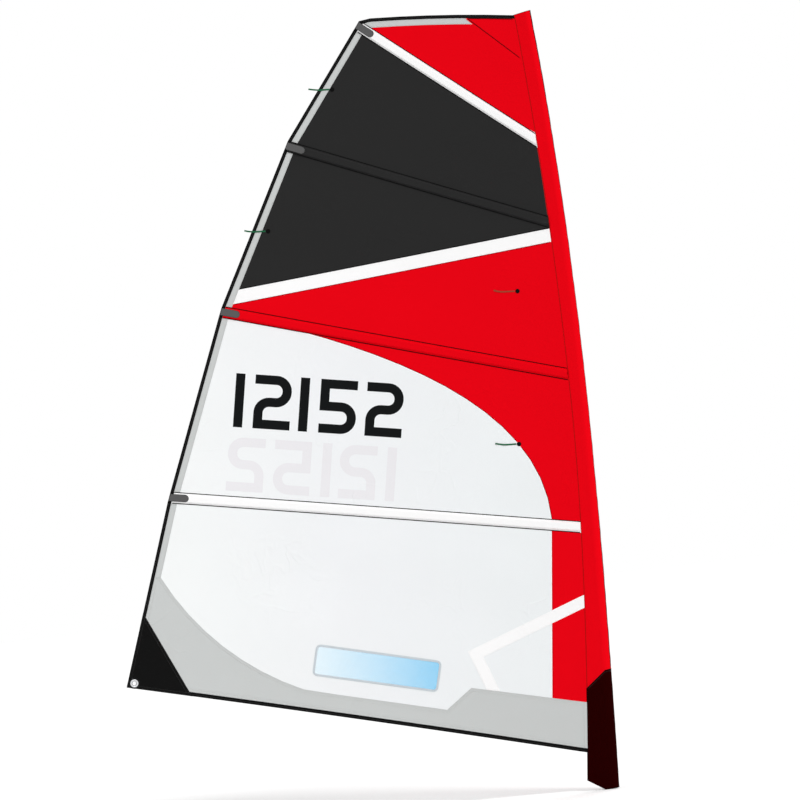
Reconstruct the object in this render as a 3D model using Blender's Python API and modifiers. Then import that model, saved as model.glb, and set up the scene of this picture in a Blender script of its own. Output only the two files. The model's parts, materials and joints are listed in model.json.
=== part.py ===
"""A youth dinghy's sail with a luff sleeve, four full-length battens and a clear window.

Frame: +Z up along the luff, +X forward, +Y to port, and the origin on the mast's axis at the
sleeve's mouth. Sizes are in metres. A cloth piece is drawn flat in the XZ plane, cut along X at
stations that all pieces share, and then moved sideways by the camber, so what is clear of its
neighbour when flat stays clear. A level is a distance from the cloth's middle towards starboard.
"""

import math

import bmesh
import bpy
from mathutils import Matrix, Vector

# Fits
GAP = 0.0003
CUT_REACH = 0.05
BEYOND = 0.6

# Camber, a round belly to port along the foot
CAMBER_CHORD = 1.96
CAMBER_DEPTH = 0.10
FACET_LENGTH = 0.085
FACET_MARGIN = 0.013

# Leech, from the clew up to the head, as (x, z)
CLEW = (-1.964, 0.637)
LEECH_AT_BATTEN_4 = (-1.706, 1.390)
LEECH_AT_BATTEN_3 = (-1.396, 2.160)
LEECH_AT_BATTEN_2 = (-1.040, 2.824)
HEAD_AFT = (-0.688, 3.287)
HEAD_TOP = (-0.641, 3.293)
HEAD_FORE_HEIGHT = 3.233
HEAD_CROWN = 0.008
TACK_HEIGHT = 0.149

# Luff sleeve
LUFF_LENGTH = 3.247
LUFF_BOW = 0.053
LUFF_BOW_SKEW = 0.45
NOSE_RADIUS_FOOT = 0.0255
NOSE_RADIUS_HEAD = 0.018
SLEEVE_DEPTH_FOOT = 0.132
SLEEVE_DEPTH_HEAD = 0.072
SLEEVE_TAPER_HEIGHT = 1.6
SLEEVE_TAPER_POWER = 1.6
SLEEVE_WALL = 0.0012
SLEEVE_SEAM_HALF = 0.0015
SLEEVE_SEAM_WIDTH = 0.006
SLEEVE_CAVITY_TAIL = 0.0009
SLEEVE_SECTIONS = 30
NOSE_SEGMENTS = 10
HEAD_CAP_DEPTH = 0.018

# Boot at the foot of the sleeve, its edges as (x, z)
BOOT_WALL = 0.002
BOOT_SWELL = 0.0004
BOOT_TOP_AFT = (-0.058, 0.418)
BOOT_TOP_MIDDLE = (0.020, 0.482)
BOOT_TOP_FORE = (0.045, 0.4855)
BOOT_MOUTH_AFT = (-0.106, 0.034)
BOOT_MOUTH_LOW = (-0.032, -0.012)
BOOT_MOUTH_FORE = (0.060, -0.006)

# Cloth, tapes and layers
CLOTH = 0.0010
LAYER = 0.0006
LEECH_TAPE_WIDTH = 0.014
FOOT_TAPE_WIDTH = 0.016
TABLING_WIDTH = 0.025
TABLING_HEAD_END = (-0.248, 3.246)
TABLING_HEAD_SLANT = 0.030

# Panels
STRIPE_LUFF_HEIGHT = 2.334
STRIPE_LEECH_DROP = 0.104
STRIPE_SPAN = 1.313
STRIPE_HEIGHT = 0.0545
CURVE_START = (-1.080, 2.029)
CURVE_START_PULL = (-0.600, 1.836)
CURVE_END_PULL = (-0.127, 1.560)
CURVE_END = (-0.127, 1.131)
CURVE_POINTS = 14
STRIP_FOOT = (-0.209, 0.389)
HEAD_PATCH_AFT = (-0.247, 3.250)
HEAD_PATCH_FORE = (-0.035, 3.047)

# Foot and clew reinforcement
PATCH_LEECH = (-1.773, 1.074)
PATCH_ARC_END = (-1.235, 0.541)
PATCH_ARC_DEPTH = 0.066
PATCH_ARC_POINTS = 8
PATCH_BAND_START = (-1.087, 0.500)
PATCH_BAND_END = (-0.650, 0.388)
PATCH_TACK_STEP = (-0.539, 0.468)
PATCH_TACK = (-0.067, 0.356)
CLEW_PATCH_UP = 0.936
CLEW_PATCH_FORE = -1.700

# Chevron, along the middle of its band
CHEVRON_TOP = (-0.010, 0.784)
CHEVRON_POINT = (-0.505, 0.606)
CHEVRON_FOOT = (-0.440, 0.422)
CHEVRON_WIDTH = 0.049

# Window
WINDOW_CENTRE = (-0.921, 0.594)
WINDOW_LENGTH = 0.530
WINDOW_HEIGHT = 0.133
WINDOW_SLOPE = math.radians(-14.2)
WINDOW_CORNER = 0.021
WINDOW_SEAM = 0.009
WINDOW_FILM = 0.0006
WINDOW_WEB = 0.0012

# Clew eyelet
EYELET_CENTRE = (-1.932, 0.650)
EYELET_BORE = 0.0065
EYELET_BARREL = 0.0095
EYELET_FLANGE = 0.017
EYELET_ROLL = 0.0025
EYELET_RISE = 0.0012
EYELET_ROLL_STEPS = 6
EYELET_PLATE = 0.0012
EYELET_STEPS = 32

# Batten pockets: height at the leech, height at the sleeve's seam, and width
POCKETS = (
    (3.272, 2.706, 0.047),
    (2.805, 2.362, 0.047),
    (2.148, 1.724, 0.050),
    (1.402, 1.085, 0.049),
)
SEAM_UNDER_POCKET = 0.003
POCKET_CROWN_HALF = 0.0145
POCKET_FOOT_HALF = 0.0185
POCKET_WALL = 0.0007
POCKET_END_WALL = 0.002
CHANNEL_HEIGHT = 0.0090
BATTEN_LEVEL = 0.00575

# Battens
BATTEN_WIDTH_LEECH = 0.018
BATTEN_WIDTH_LUFF = 0.014
BATTEN_THICK_LEECH = 0.0035
BATTEN_THICK_LUFF = 0.0022
BATTEN_EDGE = 0.0006
TIP_LENGTH = 0.030
TIP_WIDTH = 0.022
TIP_THICK = 0.0045
TIP_GRIP = 0.022
TIP_POINTS = 8

# Tension end boxes and what slides in them
BOX_LENGTH = 0.081
BOX_WIDTH = 0.029
BOX_ROOF = 0.0015
BOX_BEVEL = 0.0015
BOX_END_POINTS = 10
BOX_FLOOR = 0.0012
BOX_CLOTH_GAP = 0.001
BOX_EDGE_MARGIN = 0.003
CHANNEL_WIDTH = 0.0244
CHANNEL_DEEP = 0.0075
RECESS_WIDTH = 0.0260
RECESS_DEEP = 0.0083
RECESS_LENGTH = 0.010
CAP_START = 0.004
SCREW_HEAD_RADIUS = 0.003
SCREW_HEAD_LENGTH = 0.0025
SCREW_RADIUS = 0.00175
SCREW_LENGTH = 0.028
SCREW_CLEARANCE = 0.0002
SCREW_STEPS = 16
HEX_RADIUS = 0.0015
HEX_DEPTH = 0.0015
PUSHER_START = 0.012
PUSHER_LENGTH = 0.043
PUSHER_FLOOR = 0.018
PUSHER_TRAVEL = 0.008
SOCKET_CLEARANCE = 0.0004

# Telltales: the sticker's centre as (x, z), and whether the ribbon passes over the leech tape
TELLTALES = (
    ((-0.832, 3.017), True),
    ((-1.165, 2.459), True),
    ((-0.160, 2.091), False),
    ((-0.226, 1.457), False),
)
RIBBON_LENGTH = 0.088
RIBBON_WIDTH = 0.0065
RIBBON_THICK = 0.0005
RIBBON_RISE = math.radians(6.5)
RIBBON_LIFT = 0.0006
DOT_RADIUS = 0.0092
DOT_POINTS = 16
RIBBON_GAP = 0.0005

# Colours as sRGB bytes
RED = (229, 6, 21)
DARK = (43, 43, 43)
WHITE = (240, 243, 245)
STRIPE_WHITE = (254, 254, 254)
GREY = (199, 201, 200)
BLACK = (20, 20, 20)
BOOT = (34, 4, 4)
MOULDED = (95, 95, 95)
FILM = (180, 224, 248)
SEAM_GREY = (190, 200, 206)
GLASS_FIBRE = (205, 196, 150)
METAL = (200, 200, 200)
GREEN = (40, 92, 62)


# Plane of the flat sail: drawing x to X, drawing y to Z, and the level towards starboard
SAIL_PLANE = Matrix(((1, 0, 0, 0), (0, 0, -1, 0), (0, 1, 0, 0), (0, 0, 0, 1)))


def clear_scene():
    """Removes every object of the scene that is open."""
    for obj in list(bpy.data.objects):
        bpy.data.objects.remove(obj, do_unlink=True)


def linear(colour):
    """Turns sRGB bytes into the linear values that a shader takes."""
    return tuple((c / 255 / 12.92) if c < 11 else ((c / 255 + 0.055) / 1.055) ** 2.4 for c in colour)


def height_on(a, b, x):
    """Height at x of the straight line through a and b."""
    return a[1] + (b[1] - a[1]) * (x - a[0]) / (b[0] - a[0])


def along_polyline(points, height):
    """The x at that height on a polyline whose heights rise."""
    for low, high in zip(points, points[1:]):
        if height <= high[1] or high == points[-1]:
            return low[0] + (high[0] - low[0]) * (height - low[1]) / (high[1] - low[1])
    return points[-1][0]


def arc(a, b, depth, count):
    """Points from a to b on a round arc that bulges by depth to the left of the way."""
    half = math.dist(a, b) / 2
    radius = (half**2 + depth**2) / (2 * depth)
    sweep = 2 * math.asin(half / radius)
    ahead = ((b[0] - a[0]) / (2 * half), (b[1] - a[1]) / (2 * half))
    points = []
    for i in range(count + 1):
        angle = -sweep / 2 + sweep * i / count
        forward = half + radius * math.sin(angle)
        side = radius * (math.cos(angle) - math.cos(sweep / 2))
        x = a[0] + ahead[0] * forward - ahead[1] * side
        points.append((x, a[1] + ahead[1] * forward + ahead[0] * side))
    return points


def bezier(a, pull_a, pull_b, b, count):
    """Points on a cubic curve from a to b."""
    points = []
    for i in range(count + 1):
        t = i / count
        weights = ((1 - t) ** 3, 3 * t * (1 - t) ** 2, 3 * t * t * (1 - t), t**3)
        points.append(tuple(sum(w * p[k] for w, p in zip(weights, (a, pull_a, pull_b, b))) for k in (0, 1)))
    return points


def circle(centre, radius, count):
    """Points round a circle."""
    turns = [2 * math.pi * i / count for i in range(count)]
    return [(centre[0] + radius * math.cos(t), centre[1] + radius * math.sin(t)) for t in turns]


def rectangle(left, right, low, high):
    """The four corners of an upright rectangle."""
    return [(left, low), (right, low), (right, high), (left, high)]


def signed_area(points):
    """Area of a closed outline, positive where it runs anticlockwise."""
    return sum(a[0] * b[1] - b[0] * a[1] for a, b in zip(points, points[1:] + points[:1])) / 2


def moved_edges(points, distances):
    """A closed outline with each edge, from its point to the next, moved outwards by its distance."""
    if not isinstance(distances, (list, tuple)):
        distances = [distances] * len(points)
    side = 1 if signed_area(points) > 0 else -1
    lines = []
    for a, b, distance in zip(points, points[1:] + points[:1], distances):
        ahead = Vector((b[0] - a[0], b[1] - a[1])).normalized()
        out = Vector((ahead.y, -ahead.x)) * side
        lines.append((Vector(a) + out * distance, ahead))
    result = []
    for (p, u), (q, v) in zip(lines[-1:] + lines[:-1], lines):
        cross = u.x * v.y - u.y * v.x
        if abs(cross) < 1e-6:
            result.append(tuple(q))
            continue
        reach = ((q.x - p.x) * v.y - (q.y - p.y) * v.x) / cross
        result.append(tuple(p + u * reach))
    return result


def rounded(points, radius, count):
    """A convex outline with its corners rounded."""
    result = []
    for before, corner, after in zip(points[-1:] + points[:-1], points, points[1:] + points[:1]):
        to_before = (Vector(before) - Vector(corner)).normalized()
        to_after = (Vector(after) - Vector(corner)).normalized()
        half = to_before.angle(to_after) / 2
        centre = Vector(corner) + (to_before + to_after).normalized() * radius / math.sin(half)
        start = (Vector(corner) + to_before * radius / math.tan(half) - centre).normalized()
        end = (Vector(corner) + to_after * radius / math.tan(half) - centre).normalized()
        for i in range(count + 1):
            result.append(tuple(centre + start.slerp(end, i / count) * radius))
    return result


# Camber and the stations where cloth is cut along X


CAMBER_RADIUS = ((CAMBER_CHORD / 2) ** 2 + CAMBER_DEPTH**2) / (2 * CAMBER_DEPTH)


def round_camber(x):
    """Sideways place of the cloth at x, on the round belly."""
    return math.sqrt(CAMBER_RADIUS**2 - (x + CAMBER_CHORD / 2) ** 2) - (CAMBER_RADIUS - CAMBER_DEPTH)


def luff_bow(height):
    """How far the leading edge stands forward of its chord."""
    share = min(1, max(0, height / LUFF_LENGTH))
    return 4 * LUFF_BOW * share * (1 - share) * (1 + LUFF_BOW_SKEW * (share - 0.5))


def nose_radius(height):
    """Radius of the sleeve's round leading edge."""
    share = height / LUFF_LENGTH
    return NOSE_RADIUS_FOOT + (NOSE_RADIUS_HEAD - NOSE_RADIUS_FOOT) * share


def seam_place(height):
    """The x of the sleeve's trailing seam."""
    taper = max(0, 1 - height / SLEEVE_TAPER_HEIGHT) ** SLEEVE_TAPER_POWER
    depth = SLEEVE_DEPTH_HEAD + (SLEEVE_DEPTH_FOOT - SLEEVE_DEPTH_HEAD) * taper
    return NOSE_RADIUS_FOOT + luff_bow(height) - depth


SECTION_STEP = (LUFF_LENGTH + 2 * CUT_REACH) / SLEEVE_SECTIONS
SECTION_HEIGHTS = [-CUT_REACH + SECTION_STEP * i for i in range(SLEEVE_SECTIONS + 1)]
SEAM = [(seam_place(height), height) for height in SECTION_HEIGHTS]
LEECH = [CLEW, LEECH_AT_BATTEN_4, LEECH_AT_BATTEN_3, LEECH_AT_BATTEN_2, HEAD_AFT]


class Pocket:
    """Where one batten pocket lies: its ends, its directions and its lengths in the flat sail."""

    def __init__(self, number, leech_height, luff_height, width):
        self.number = number
        self.width = width
        self.leech = Vector((along_polyline(LEECH, leech_height), leech_height))
        self.luff = Vector((along_polyline(SEAM, luff_height), luff_height))
        self.length = (self.luff - self.leech).length
        self.ahead = (self.luff - self.leech).normalized()
        self.up = Vector((-self.ahead.y, self.ahead.x))
        self.slant = self.up.x / self.up.y
        self.channel_end = self.length - POCKET_END_WALL - POCKET_FOOT_HALF * abs(self.slant)

    def flat_frame(self):
        """Drawing x along the pocket from the leech, drawing y up across it, and the level."""
        frame = Matrix.Identity(4)
        frame.col[0] = (self.ahead.x, 0, self.ahead.y, 0)
        frame.col[1] = (self.up.x, 0, self.up.y, 0)
        frame.col[2] = (0, -1, 0, 0)
        frame.col[3] = (self.leech.x, 0, self.leech.y, 1)
        return frame

    def strip(self, grow):
        """Outline of the whole pocket in the sail's plane, wider by grow on each side."""
        half = self.width / 2 + grow
        start = self.leech - self.ahead * CUT_REACH
        end = self.luff + self.ahead * CUT_REACH
        return [tuple(p) for p in (start - self.up * half, end - self.up * half,
                                   end + self.up * half, start + self.up * half)]

    def hardware_frame(self):
        """The same directions on the facet under the box, and how much longer a length is there."""
        near = self.leech.x + FACET_MARGIN / 2
        slope = (camber(near + FACET_MARGIN) - camber(near)) / FACET_MARGIN
        out = Vector((slope, -1, 0)).normalized()
        ahead = Vector((self.ahead.x, slope * self.ahead.x, self.ahead.y))
        stretch = ahead.length
        ahead.normalize()
        frame = Matrix.Identity(4)
        frame.col[0] = (*ahead, 0)
        frame.col[1] = (*out.cross(ahead), 0)
        frame.col[2] = (*out, 0)
        frame.col[3] = (self.leech.x, camber(self.leech.x), self.leech.y, 1)
        return frame, stretch

    def arc_centre(self):
        """Centre of the round path that the batten follows, through its ends and middle."""
        points = []
        for share in (0, 0.5, 1):
            place = self.leech + self.ahead * self.channel_end * share
            points.append(Vector((self.channel_end * share, round_camber(place.x) - BATTEN_LEVEL)))
        a, b, c = points
        twice = 2 * ((b - a).x * (c - a).y - (b - a).y * (c - a).x)
        ab = (b - a).length_squared
        ac = (c - a).length_squared
        centre = a + Vector(((c - a).y * ab - (b - a).y * ac, (b - a).x * ac - (c - a).x * ab)) / twice
        flat = self.leech + self.ahead * centre.x
        return Vector((flat.x, centre.y, flat.y))


POCKET_LIST = [Pocket(i + 1, *sizes) for i, sizes in enumerate(POCKETS)]


def stations():
    """Every x where cloth is cut: the ends of the facets under the boxes, and even steps between."""
    fixed = {LEECH[0][0] - CUT_REACH, NOSE_RADIUS_FOOT + LUFF_BOW + CUT_REACH}
    for pocket in POCKET_LIST:
        inner = pocket.leech.x + BOX_LENGTH * pocket.ahead.x
        fixed |= {pocket.leech.x - FACET_MARGIN, inner + FACET_MARGIN}
    fixed = sorted(fixed)
    result = [fixed[0]]
    for low, high in zip(fixed, fixed[1:]):
        steps = max(1, math.ceil((high - low) / FACET_LENGTH - 0.25))
        result += [low + (high - low) * (i + 1) / steps for i in range(steps)]
    return result


STATIONS = stations()


def camber(x):
    """Sideways place of the faceted cloth at x."""
    for low, high in zip(STATIONS, STATIONS[1:]):
        if x <= high or high == STATIONS[-1]:
            share = (x - low) / (high - low)
            return round_camber(low) + (round_camber(high) - round_camber(low)) * share
    return round_camber(x)


# Objects and operations


def new_object(name, mesh):
    """A new object in the part's collection."""
    obj = bpy.data.objects.new(name, mesh)
    PART.objects.link(obj)
    return obj


def bake(obj):
    """Turns what the modifiers or the curve give into the object's own mesh."""
    evaluated = obj.evaluated_get(bpy.context.evaluated_depsgraph_get())
    mesh = bpy.data.meshes.new_from_object(evaluated)
    if obj.type == "CURVE":
        solid = new_object(obj.name + ".solid", mesh)
        bpy.data.objects.remove(obj)
        return solid
    obj.modifiers.clear()
    obj.data = mesh
    return obj


def edit(obj, operation):
    """Runs an operation on the object's mesh as a bmesh."""
    shape = bmesh.new()
    shape.from_mesh(obj.data)
    operation(shape)
    shape.to_mesh(obj.data)
    shape.free()


def prism(name, outlines, low, high, frame):
    """A flat outline, or an outline with holes, given its thickness along the frame's third axis."""
    curve = bpy.data.curves.new(name, "CURVE")
    curve.dimensions = "2D"
    curve.fill_mode = "BOTH"
    curve.extrude = (high - low) / 2
    for outline in outlines:
        spline = curve.splines.new("POLY")
        spline.points.add(len(outline) - 1)
        for point, place in zip(spline.points, outline):
            point.co = (place[0], place[1], 0, 1)
        spline.use_cyclic_u = True
    solid = bake(new_object(name, curve))
    solid.name = name

    def weld(shape):
        bmesh.ops.remove_doubles(shape, verts=shape.verts, dist=1e-6)
        bmesh.ops.dissolve_limit(shape, angle_limit=1e-4, verts=shape.verts, edges=shape.edges)
        bmesh.ops.recalc_face_normals(shape, faces=shape.faces)

    edit(solid, weld)
    solid.data.transform(frame @ Matrix.Translation((0, 0, (low + high) / 2)))
    return solid


def combine(piece, tool, operation):
    """Cuts the piece with the tool, keeps what they share, or joins them, and removes the tool."""
    modifier = piece.modifiers.new(operation.lower(), "BOOLEAN")
    modifier.operation = operation
    modifier.solver = "EXACT"
    modifier.object = tool
    bake(piece)
    bpy.data.objects.remove(tool)
    return piece


def within(piece, outline):
    """Keeps only what lies inside an outline in the sail's plane."""
    return combine(piece, prism("trim", [outline], -BEYOND, BEYOND, SAIL_PLANE), "INTERSECT")


def without(piece, outline):
    """Removes what lies inside an outline in the sail's plane."""
    return combine(piece, prism("trim", [outline], -BEYOND, BEYOND, SAIL_PLANE), "DIFFERENCE")


def cambered(piece):
    """Cuts a flat piece at the stations and moves it sideways by the camber."""

    def shape_cloth(shape):
        bmesh.ops.dissolve_limit(shape, angle_limit=1e-4, verts=shape.verts, edges=shape.edges)
        xs = [vert.co.x for vert in shape.verts]
        for station in STATIONS:
            if min(xs) < station < max(xs):
                bmesh.ops.bisect_plane(
                    shape,
                    geom=shape.verts[:] + shape.edges[:] + shape.faces[:],
                    dist=1e-6,
                    plane_co=(station, 0, 0),
                    plane_no=(1, 0, 0),
                )
        for vert in shape.verts:
            vert.co.y += camber(vert.co.x)

    edit(piece, shape_cloth)
    return piece


def turned(name, profile, closed, frame, steps):
    """A profile of (radius, height) points turned about the frame's third axis."""
    mesh = bpy.data.meshes.new(name)
    count = len(profile)
    edges = [(i, (i + 1) % count) for i in range(count if closed else count - 1)]
    mesh.from_pydata([(radius, 0, height) for radius, height in profile], edges, [])
    obj = new_object(name, mesh)
    screw = obj.modifiers.new("turn", "SCREW")
    screw.angle = 2 * math.pi
    screw.steps = steps
    screw.render_steps = steps
    screw.use_merge_vertices = True
    screw.merge_threshold = 1e-5
    bake(obj)
    obj.data.transform(frame)
    return obj


def place_origin(obj, point):
    """Puts the object's origin on a point, with the mesh left where it is."""
    obj.data.transform(Matrix.Translation(-point))
    obj.location = point


def pivot(name, point):
    """An empty on a joint's axis, with what moves about it as its children."""
    empty = bpy.data.objects.new(name, None)
    PART.objects.link(empty)
    empty.location = point
    return empty


def hang_on(empty, obj):
    """Makes the object move with the empty, from where it lies."""
    obj.parent = empty
    place_origin(obj, empty.location.copy())
    obj.location = (0, 0, 0)


def dress(obj, colour, roughness, metallic=0.0, alpha=1.0):
    """Gives the object its own material."""
    material = bpy.data.materials.new(obj.name)
    material.use_nodes = True
    shader = material.node_tree.nodes["Principled BSDF"]
    shader.inputs["Base Color"].default_value = (*linear(colour), 1)
    shader.inputs["Roughness"].default_value = roughness
    shader.inputs["Metallic"].default_value = metallic
    shader.inputs["Alpha"].default_value = alpha
    material.diffuse_color = (*linear(colour), alpha)
    obj.data.materials.clear()
    obj.data.materials.append(material)
    return obj


# Levels of the layers on each face of the cloth


FACE = CLOTH / 2
FIRST = (FACE + GAP, FACE + GAP + LAYER)
SECOND = (FIRST[1] + GAP, FIRST[1] + GAP + LAYER)


def cloth(name, outline, level):
    """Flat cloth of that outline between two levels."""
    return prism(name, [outline], *level, SAIL_PLANE)


def folded(name, outline, inside, level):
    """Cloth that lies on both faces at that level, and is folded over the edge between the outlines."""
    piece = prism(name, [outline], -level[1], level[1], SAIL_PLANE)
    slot = prism("slot", [inside], -level[0], level[0], SAIL_PLANE)
    return combine(piece, slot, "DIFFERENCE")


def notched(piece, outline):
    """Clears what stands over the cloth's starboard face inside an outline."""
    return combine(piece, prism("notch", [outline], FACE, BEYOND, SAIL_PLANE), "DIFFERENCE")


# Outline of the sail without its sleeve


def sail_edges():
    """The luff, head, leech and foot edges, anticlockwise from the tack."""
    tack = (along_polyline(SEAM, TACK_HEIGHT) - GAP, TACK_HEIGHT)
    head_fore = (along_polyline(SEAM, HEAD_FORE_HEIGHT) - GAP, HEAD_FORE_HEIGHT)
    luff = [tack] + [(x - GAP, z) for x, z in SEAM if TACK_HEIGHT < z < HEAD_FORE_HEIGHT]
    head = arc(head_fore, HEAD_TOP, -HEAD_CROWN, 5)
    return luff, head, LEECH[::-1]


def sail_outline(leech_inset, foot_inset, past_luff=0.0):
    """The sail's outline with its head and leech, and its foot, moved in, and its luff moved out."""
    luff, head, leech = sail_edges()
    distances = [past_luff] * len(luff) + [-leech_inset] * (len(head) + len(leech) - 1) + [-foot_inset]
    return moved_edges(luff + head + leech, distances)


def inside_tape(inset, past_luff=0.0):
    """The sail's outline, further in than the edge tapes' inner edge."""
    return sail_outline(LEECH_TAPE_WIDTH + inset, FOOT_TAPE_WIDTH + inset, past_luff)


WHOLE = sail_outline(0, 0)
LAYER_AREA = inside_tape(GAP)
FOLD_AREA = inside_tape(GAP + LAYER, CUT_REACH)
CLOTH_AREA = inside_tape(GAP + LAYER + GAP)

# Limits of the regions that pieces are cut by, past the sail on every side
FAR_AFT = CLEW[0] - CUT_REACH
FAR_FORE = NOSE_RADIUS_FOOT + LUFF_BOW + CUT_REACH
FAR_TOP = LUFF_LENGTH + BEYOND
FAR_LOW = -BEYOND

STRIPE_TOP = ((-STRIPE_SPAN, STRIPE_LUFF_HEIGHT - STRIPE_LEECH_DROP), (0, STRIPE_LUFF_HEIGHT))
STRIPE_LOW = tuple((x, z - STRIPE_HEIGHT) for x, z in STRIPE_TOP)


def dividing(line, shift):
    """A dividing line's far ends, aft and fore, shifted in height."""
    return [(x, height_on(*line, x) + shift) for x in (FAR_AFT, FAR_FORE)]


def above(line):
    """The region over a dividing line, less half a gap."""
    return dividing(line, GAP / 2) + [(FAR_FORE, FAR_TOP), (FAR_AFT, FAR_TOP)]


def below(line):
    """The region under a dividing line, less half a gap."""
    return dividing(line, -GAP / 2) + [(FAR_FORE, FAR_LOW), (FAR_AFT, FAR_LOW)]


def middle_line(pocket):
    """The dividing line along the middle of a pocket."""
    return tuple(pocket.leech), tuple(pocket.luff)


def lower_edge(pocket, inward):
    """The dividing line along a pocket's lower edge, moved inward under the pocket."""
    down = pocket.up * (pocket.width / 2 - inward)
    return tuple(pocket.leech - down), tuple(pocket.luff - down)


def white_area():
    """The region aft of the red curve and the red luff strip, under the third pocket."""
    upper = lower_edge(POCKET_LIST[2], SEAM_UNDER_POCKET)
    curve = bezier(CURVE_START, CURVE_START_PULL, CURVE_END_PULL, CURVE_END, CURVE_POINTS)
    curve[0] = (CURVE_START[0], height_on(*upper, CURVE_START[0]))
    share = (FAR_LOW - CURVE_END[1]) / (STRIP_FOOT[1] - CURVE_END[1])
    strip_low = (CURVE_END[0] + (STRIP_FOOT[0] - CURVE_END[0]) * share, FAR_LOW)
    return curve + [strip_low, (FAR_AFT, FAR_LOW), (FAR_AFT, height_on(*upper, FAR_AFT))]


def patch_area():
    """The grey reinforcement along the foot, from the leech to the tack."""
    tail = arc(PATCH_LEECH, PATCH_ARC_END, -PATCH_ARC_DEPTH, PATCH_ARC_POINTS)
    aft = (FAR_AFT, PATCH_LEECH[1])
    fore = (FAR_FORE, height_on(PATCH_TACK_STEP, PATCH_TACK, FAR_FORE))
    far_corners = [(FAR_FORE, FAR_LOW), (FAR_AFT, FAR_LOW)]
    return [aft] + tail + [PATCH_BAND_START, PATCH_BAND_END, PATCH_TACK_STEP, fore] + far_corners


def window_area(inset):
    """The window's rounded outline, smaller by inset on each side."""
    half_long = WINDOW_LENGTH / 2 - inset
    half_high = WINDOW_HEIGHT / 2 - inset
    corners = rounded(rectangle(-half_long, half_long, -half_high, half_high), WINDOW_CORNER - inset, 4)
    turn = Matrix.Rotation(WINDOW_SLOPE, 2)
    return [tuple(Vector(WINDOW_CENTRE) + turn @ Vector(p)) for p in corners]


def eyelet_hole(piece, radius):
    """Cuts the eyelet's round hole through a flat piece."""
    return without(piece, circle(EYELET_CENTRE, radius, EYELET_STEPS))


# Panels


def panel(name, areas, colour):
    """One panel of sailcloth, still flat, cut from the sail by the areas that it lies in."""
    piece = cloth(name, CLOTH_AREA, (-FACE, FACE))
    for area in areas:
        piece = within(piece, area)
    return dress(piece, colour, 0.55)


def make_panels():
    """The panels that the sail's body is sewn from."""
    first, fourth = middle_line(POCKET_LIST[0]), middle_line(POCKET_LIST[3])
    white = white_area()
    cambered(panel("head_panel", [above(first)], RED))
    cambered(panel("upper_panel", [below(first), above(STRIPE_TOP)], DARK))
    cambered(panel("diagonal_stripe", [below(STRIPE_TOP), above(STRIPE_LOW)], STRIPE_WHITE))
    red = panel("red_panel", [below(STRIPE_LOW), above(fourth)], RED)
    cambered(without(red, moved_edges(white, GAP)))
    cambered(panel("number_panel", [white, above(fourth)], WHITE))
    strip = panel("luff_strip", [below(fourth)], RED)
    cambered(without(strip, moved_edges(white, GAP)))
    lower = panel("lower_panel", [white, below(fourth)], WHITE)
    lower = without(lower, window_area((WINDOW_SEAM - WINDOW_WEB) / 2 - GAP))
    cambered(eyelet_hole(lower, EYELET_BARREL + GAP))


def make_window():
    """The clear film in its opening, and the seam that laps it and the panel on both faces."""
    film_area = window_area((WINDOW_SEAM + WINDOW_WEB) / 2 + GAP)
    film = cloth("window_film", film_area, (-WINDOW_FILM / 2, WINDOW_FILM / 2))
    cambered(dress(film, FILM, 0.08, alpha=0.45))
    seam = cloth("window_seam", window_area(0), (-FIRST[1], FIRST[1]))
    seam = without(seam, window_area(WINDOW_SEAM))
    around = [window_area((WINDOW_SEAM - WINDOW_WEB) / 2), window_area(-WINDOW_SEAM)]
    within_it = [window_area((WINDOW_SEAM + WINDOW_WEB) / 2)]
    for outlines in (around, within_it):
        seam = combine(seam, prism("slot", outlines, -FIRST[0], FIRST[0], SAIL_PLANE), "DIFFERENCE")
    cambered(dress(seam, SEAM_GREY, 0.6))


# Reinforcement, tabling and tapes


def make_reinforcement():
    """Patches at the head, foot and clew, folded over the sail's edges."""
    far_top = LUFF_LENGTH + CUT_REACH
    head_zone = [HEAD_PATCH_AFT, HEAD_PATCH_FORE, (FAR_FORE, HEAD_PATCH_FORE[1]), (FAR_FORE, far_top),
                 (HEAD_PATCH_AFT[0], far_top)]
    head = within(folded("head_patch", LAYER_AREA, FOLD_AREA, FIRST), head_zone)
    cambered(dress(head, RED, 0.55))
    foot = within(folded("foot_patch", LAYER_AREA, FOLD_AREA, FIRST), patch_area())
    cambered(dress(eyelet_hole(foot, EYELET_BARREL + GAP), GREY, 0.6))
    leech_point = (along_polyline(LEECH, CLEW_PATCH_UP), CLEW_PATCH_UP)
    tack = (along_polyline(SEAM, TACK_HEIGHT), TACK_HEIGHT)
    foot_point = (CLEW_PATCH_FORE, height_on(CLEW, tack, CLEW_PATCH_FORE))
    corner = [leech_point, CLEW, foot_point]
    fold = GAP + LAYER
    outside, inside = moved_edges(corner, [fold, fold, 0]), moved_edges(corner, [GAP, GAP, fold])
    clew = folded("clew_patch", outside, inside, SECOND)
    cambered(dress(eyelet_hole(clew, EYELET_BARREL + GAP), BLACK, 0.6))


def make_tabling():
    """The grey hem inside the edge tapes. The pockets interrupt it on the starboard face."""
    hem = folded("edge_tabling", LAYER_AREA, FOLD_AREA, FIRST)
    hem = without(hem, sail_outline(LEECH_TAPE_WIDTH + TABLING_WIDTH, 0, CUT_REACH))
    slant = Vector((TABLING_HEAD_SLANT, -TABLING_HEAD_SLANT))
    end_low = Vector(TABLING_HEAD_END) + slant
    end_high = Vector(TABLING_HEAD_END) - slant
    hem = within(hem, [(FAR_AFT, 0), (end_low.x, 0), tuple(end_low), tuple(end_high),
                       (end_high.x, FAR_TOP), (FAR_AFT, FAR_TOP)])
    hem = without(hem, moved_edges(patch_area(), GAP))
    for pocket in POCKET_LIST:
        hem = notched(hem, pocket.strip(GAP))
    cambered(dress(hem, GREY, 0.6))


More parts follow.
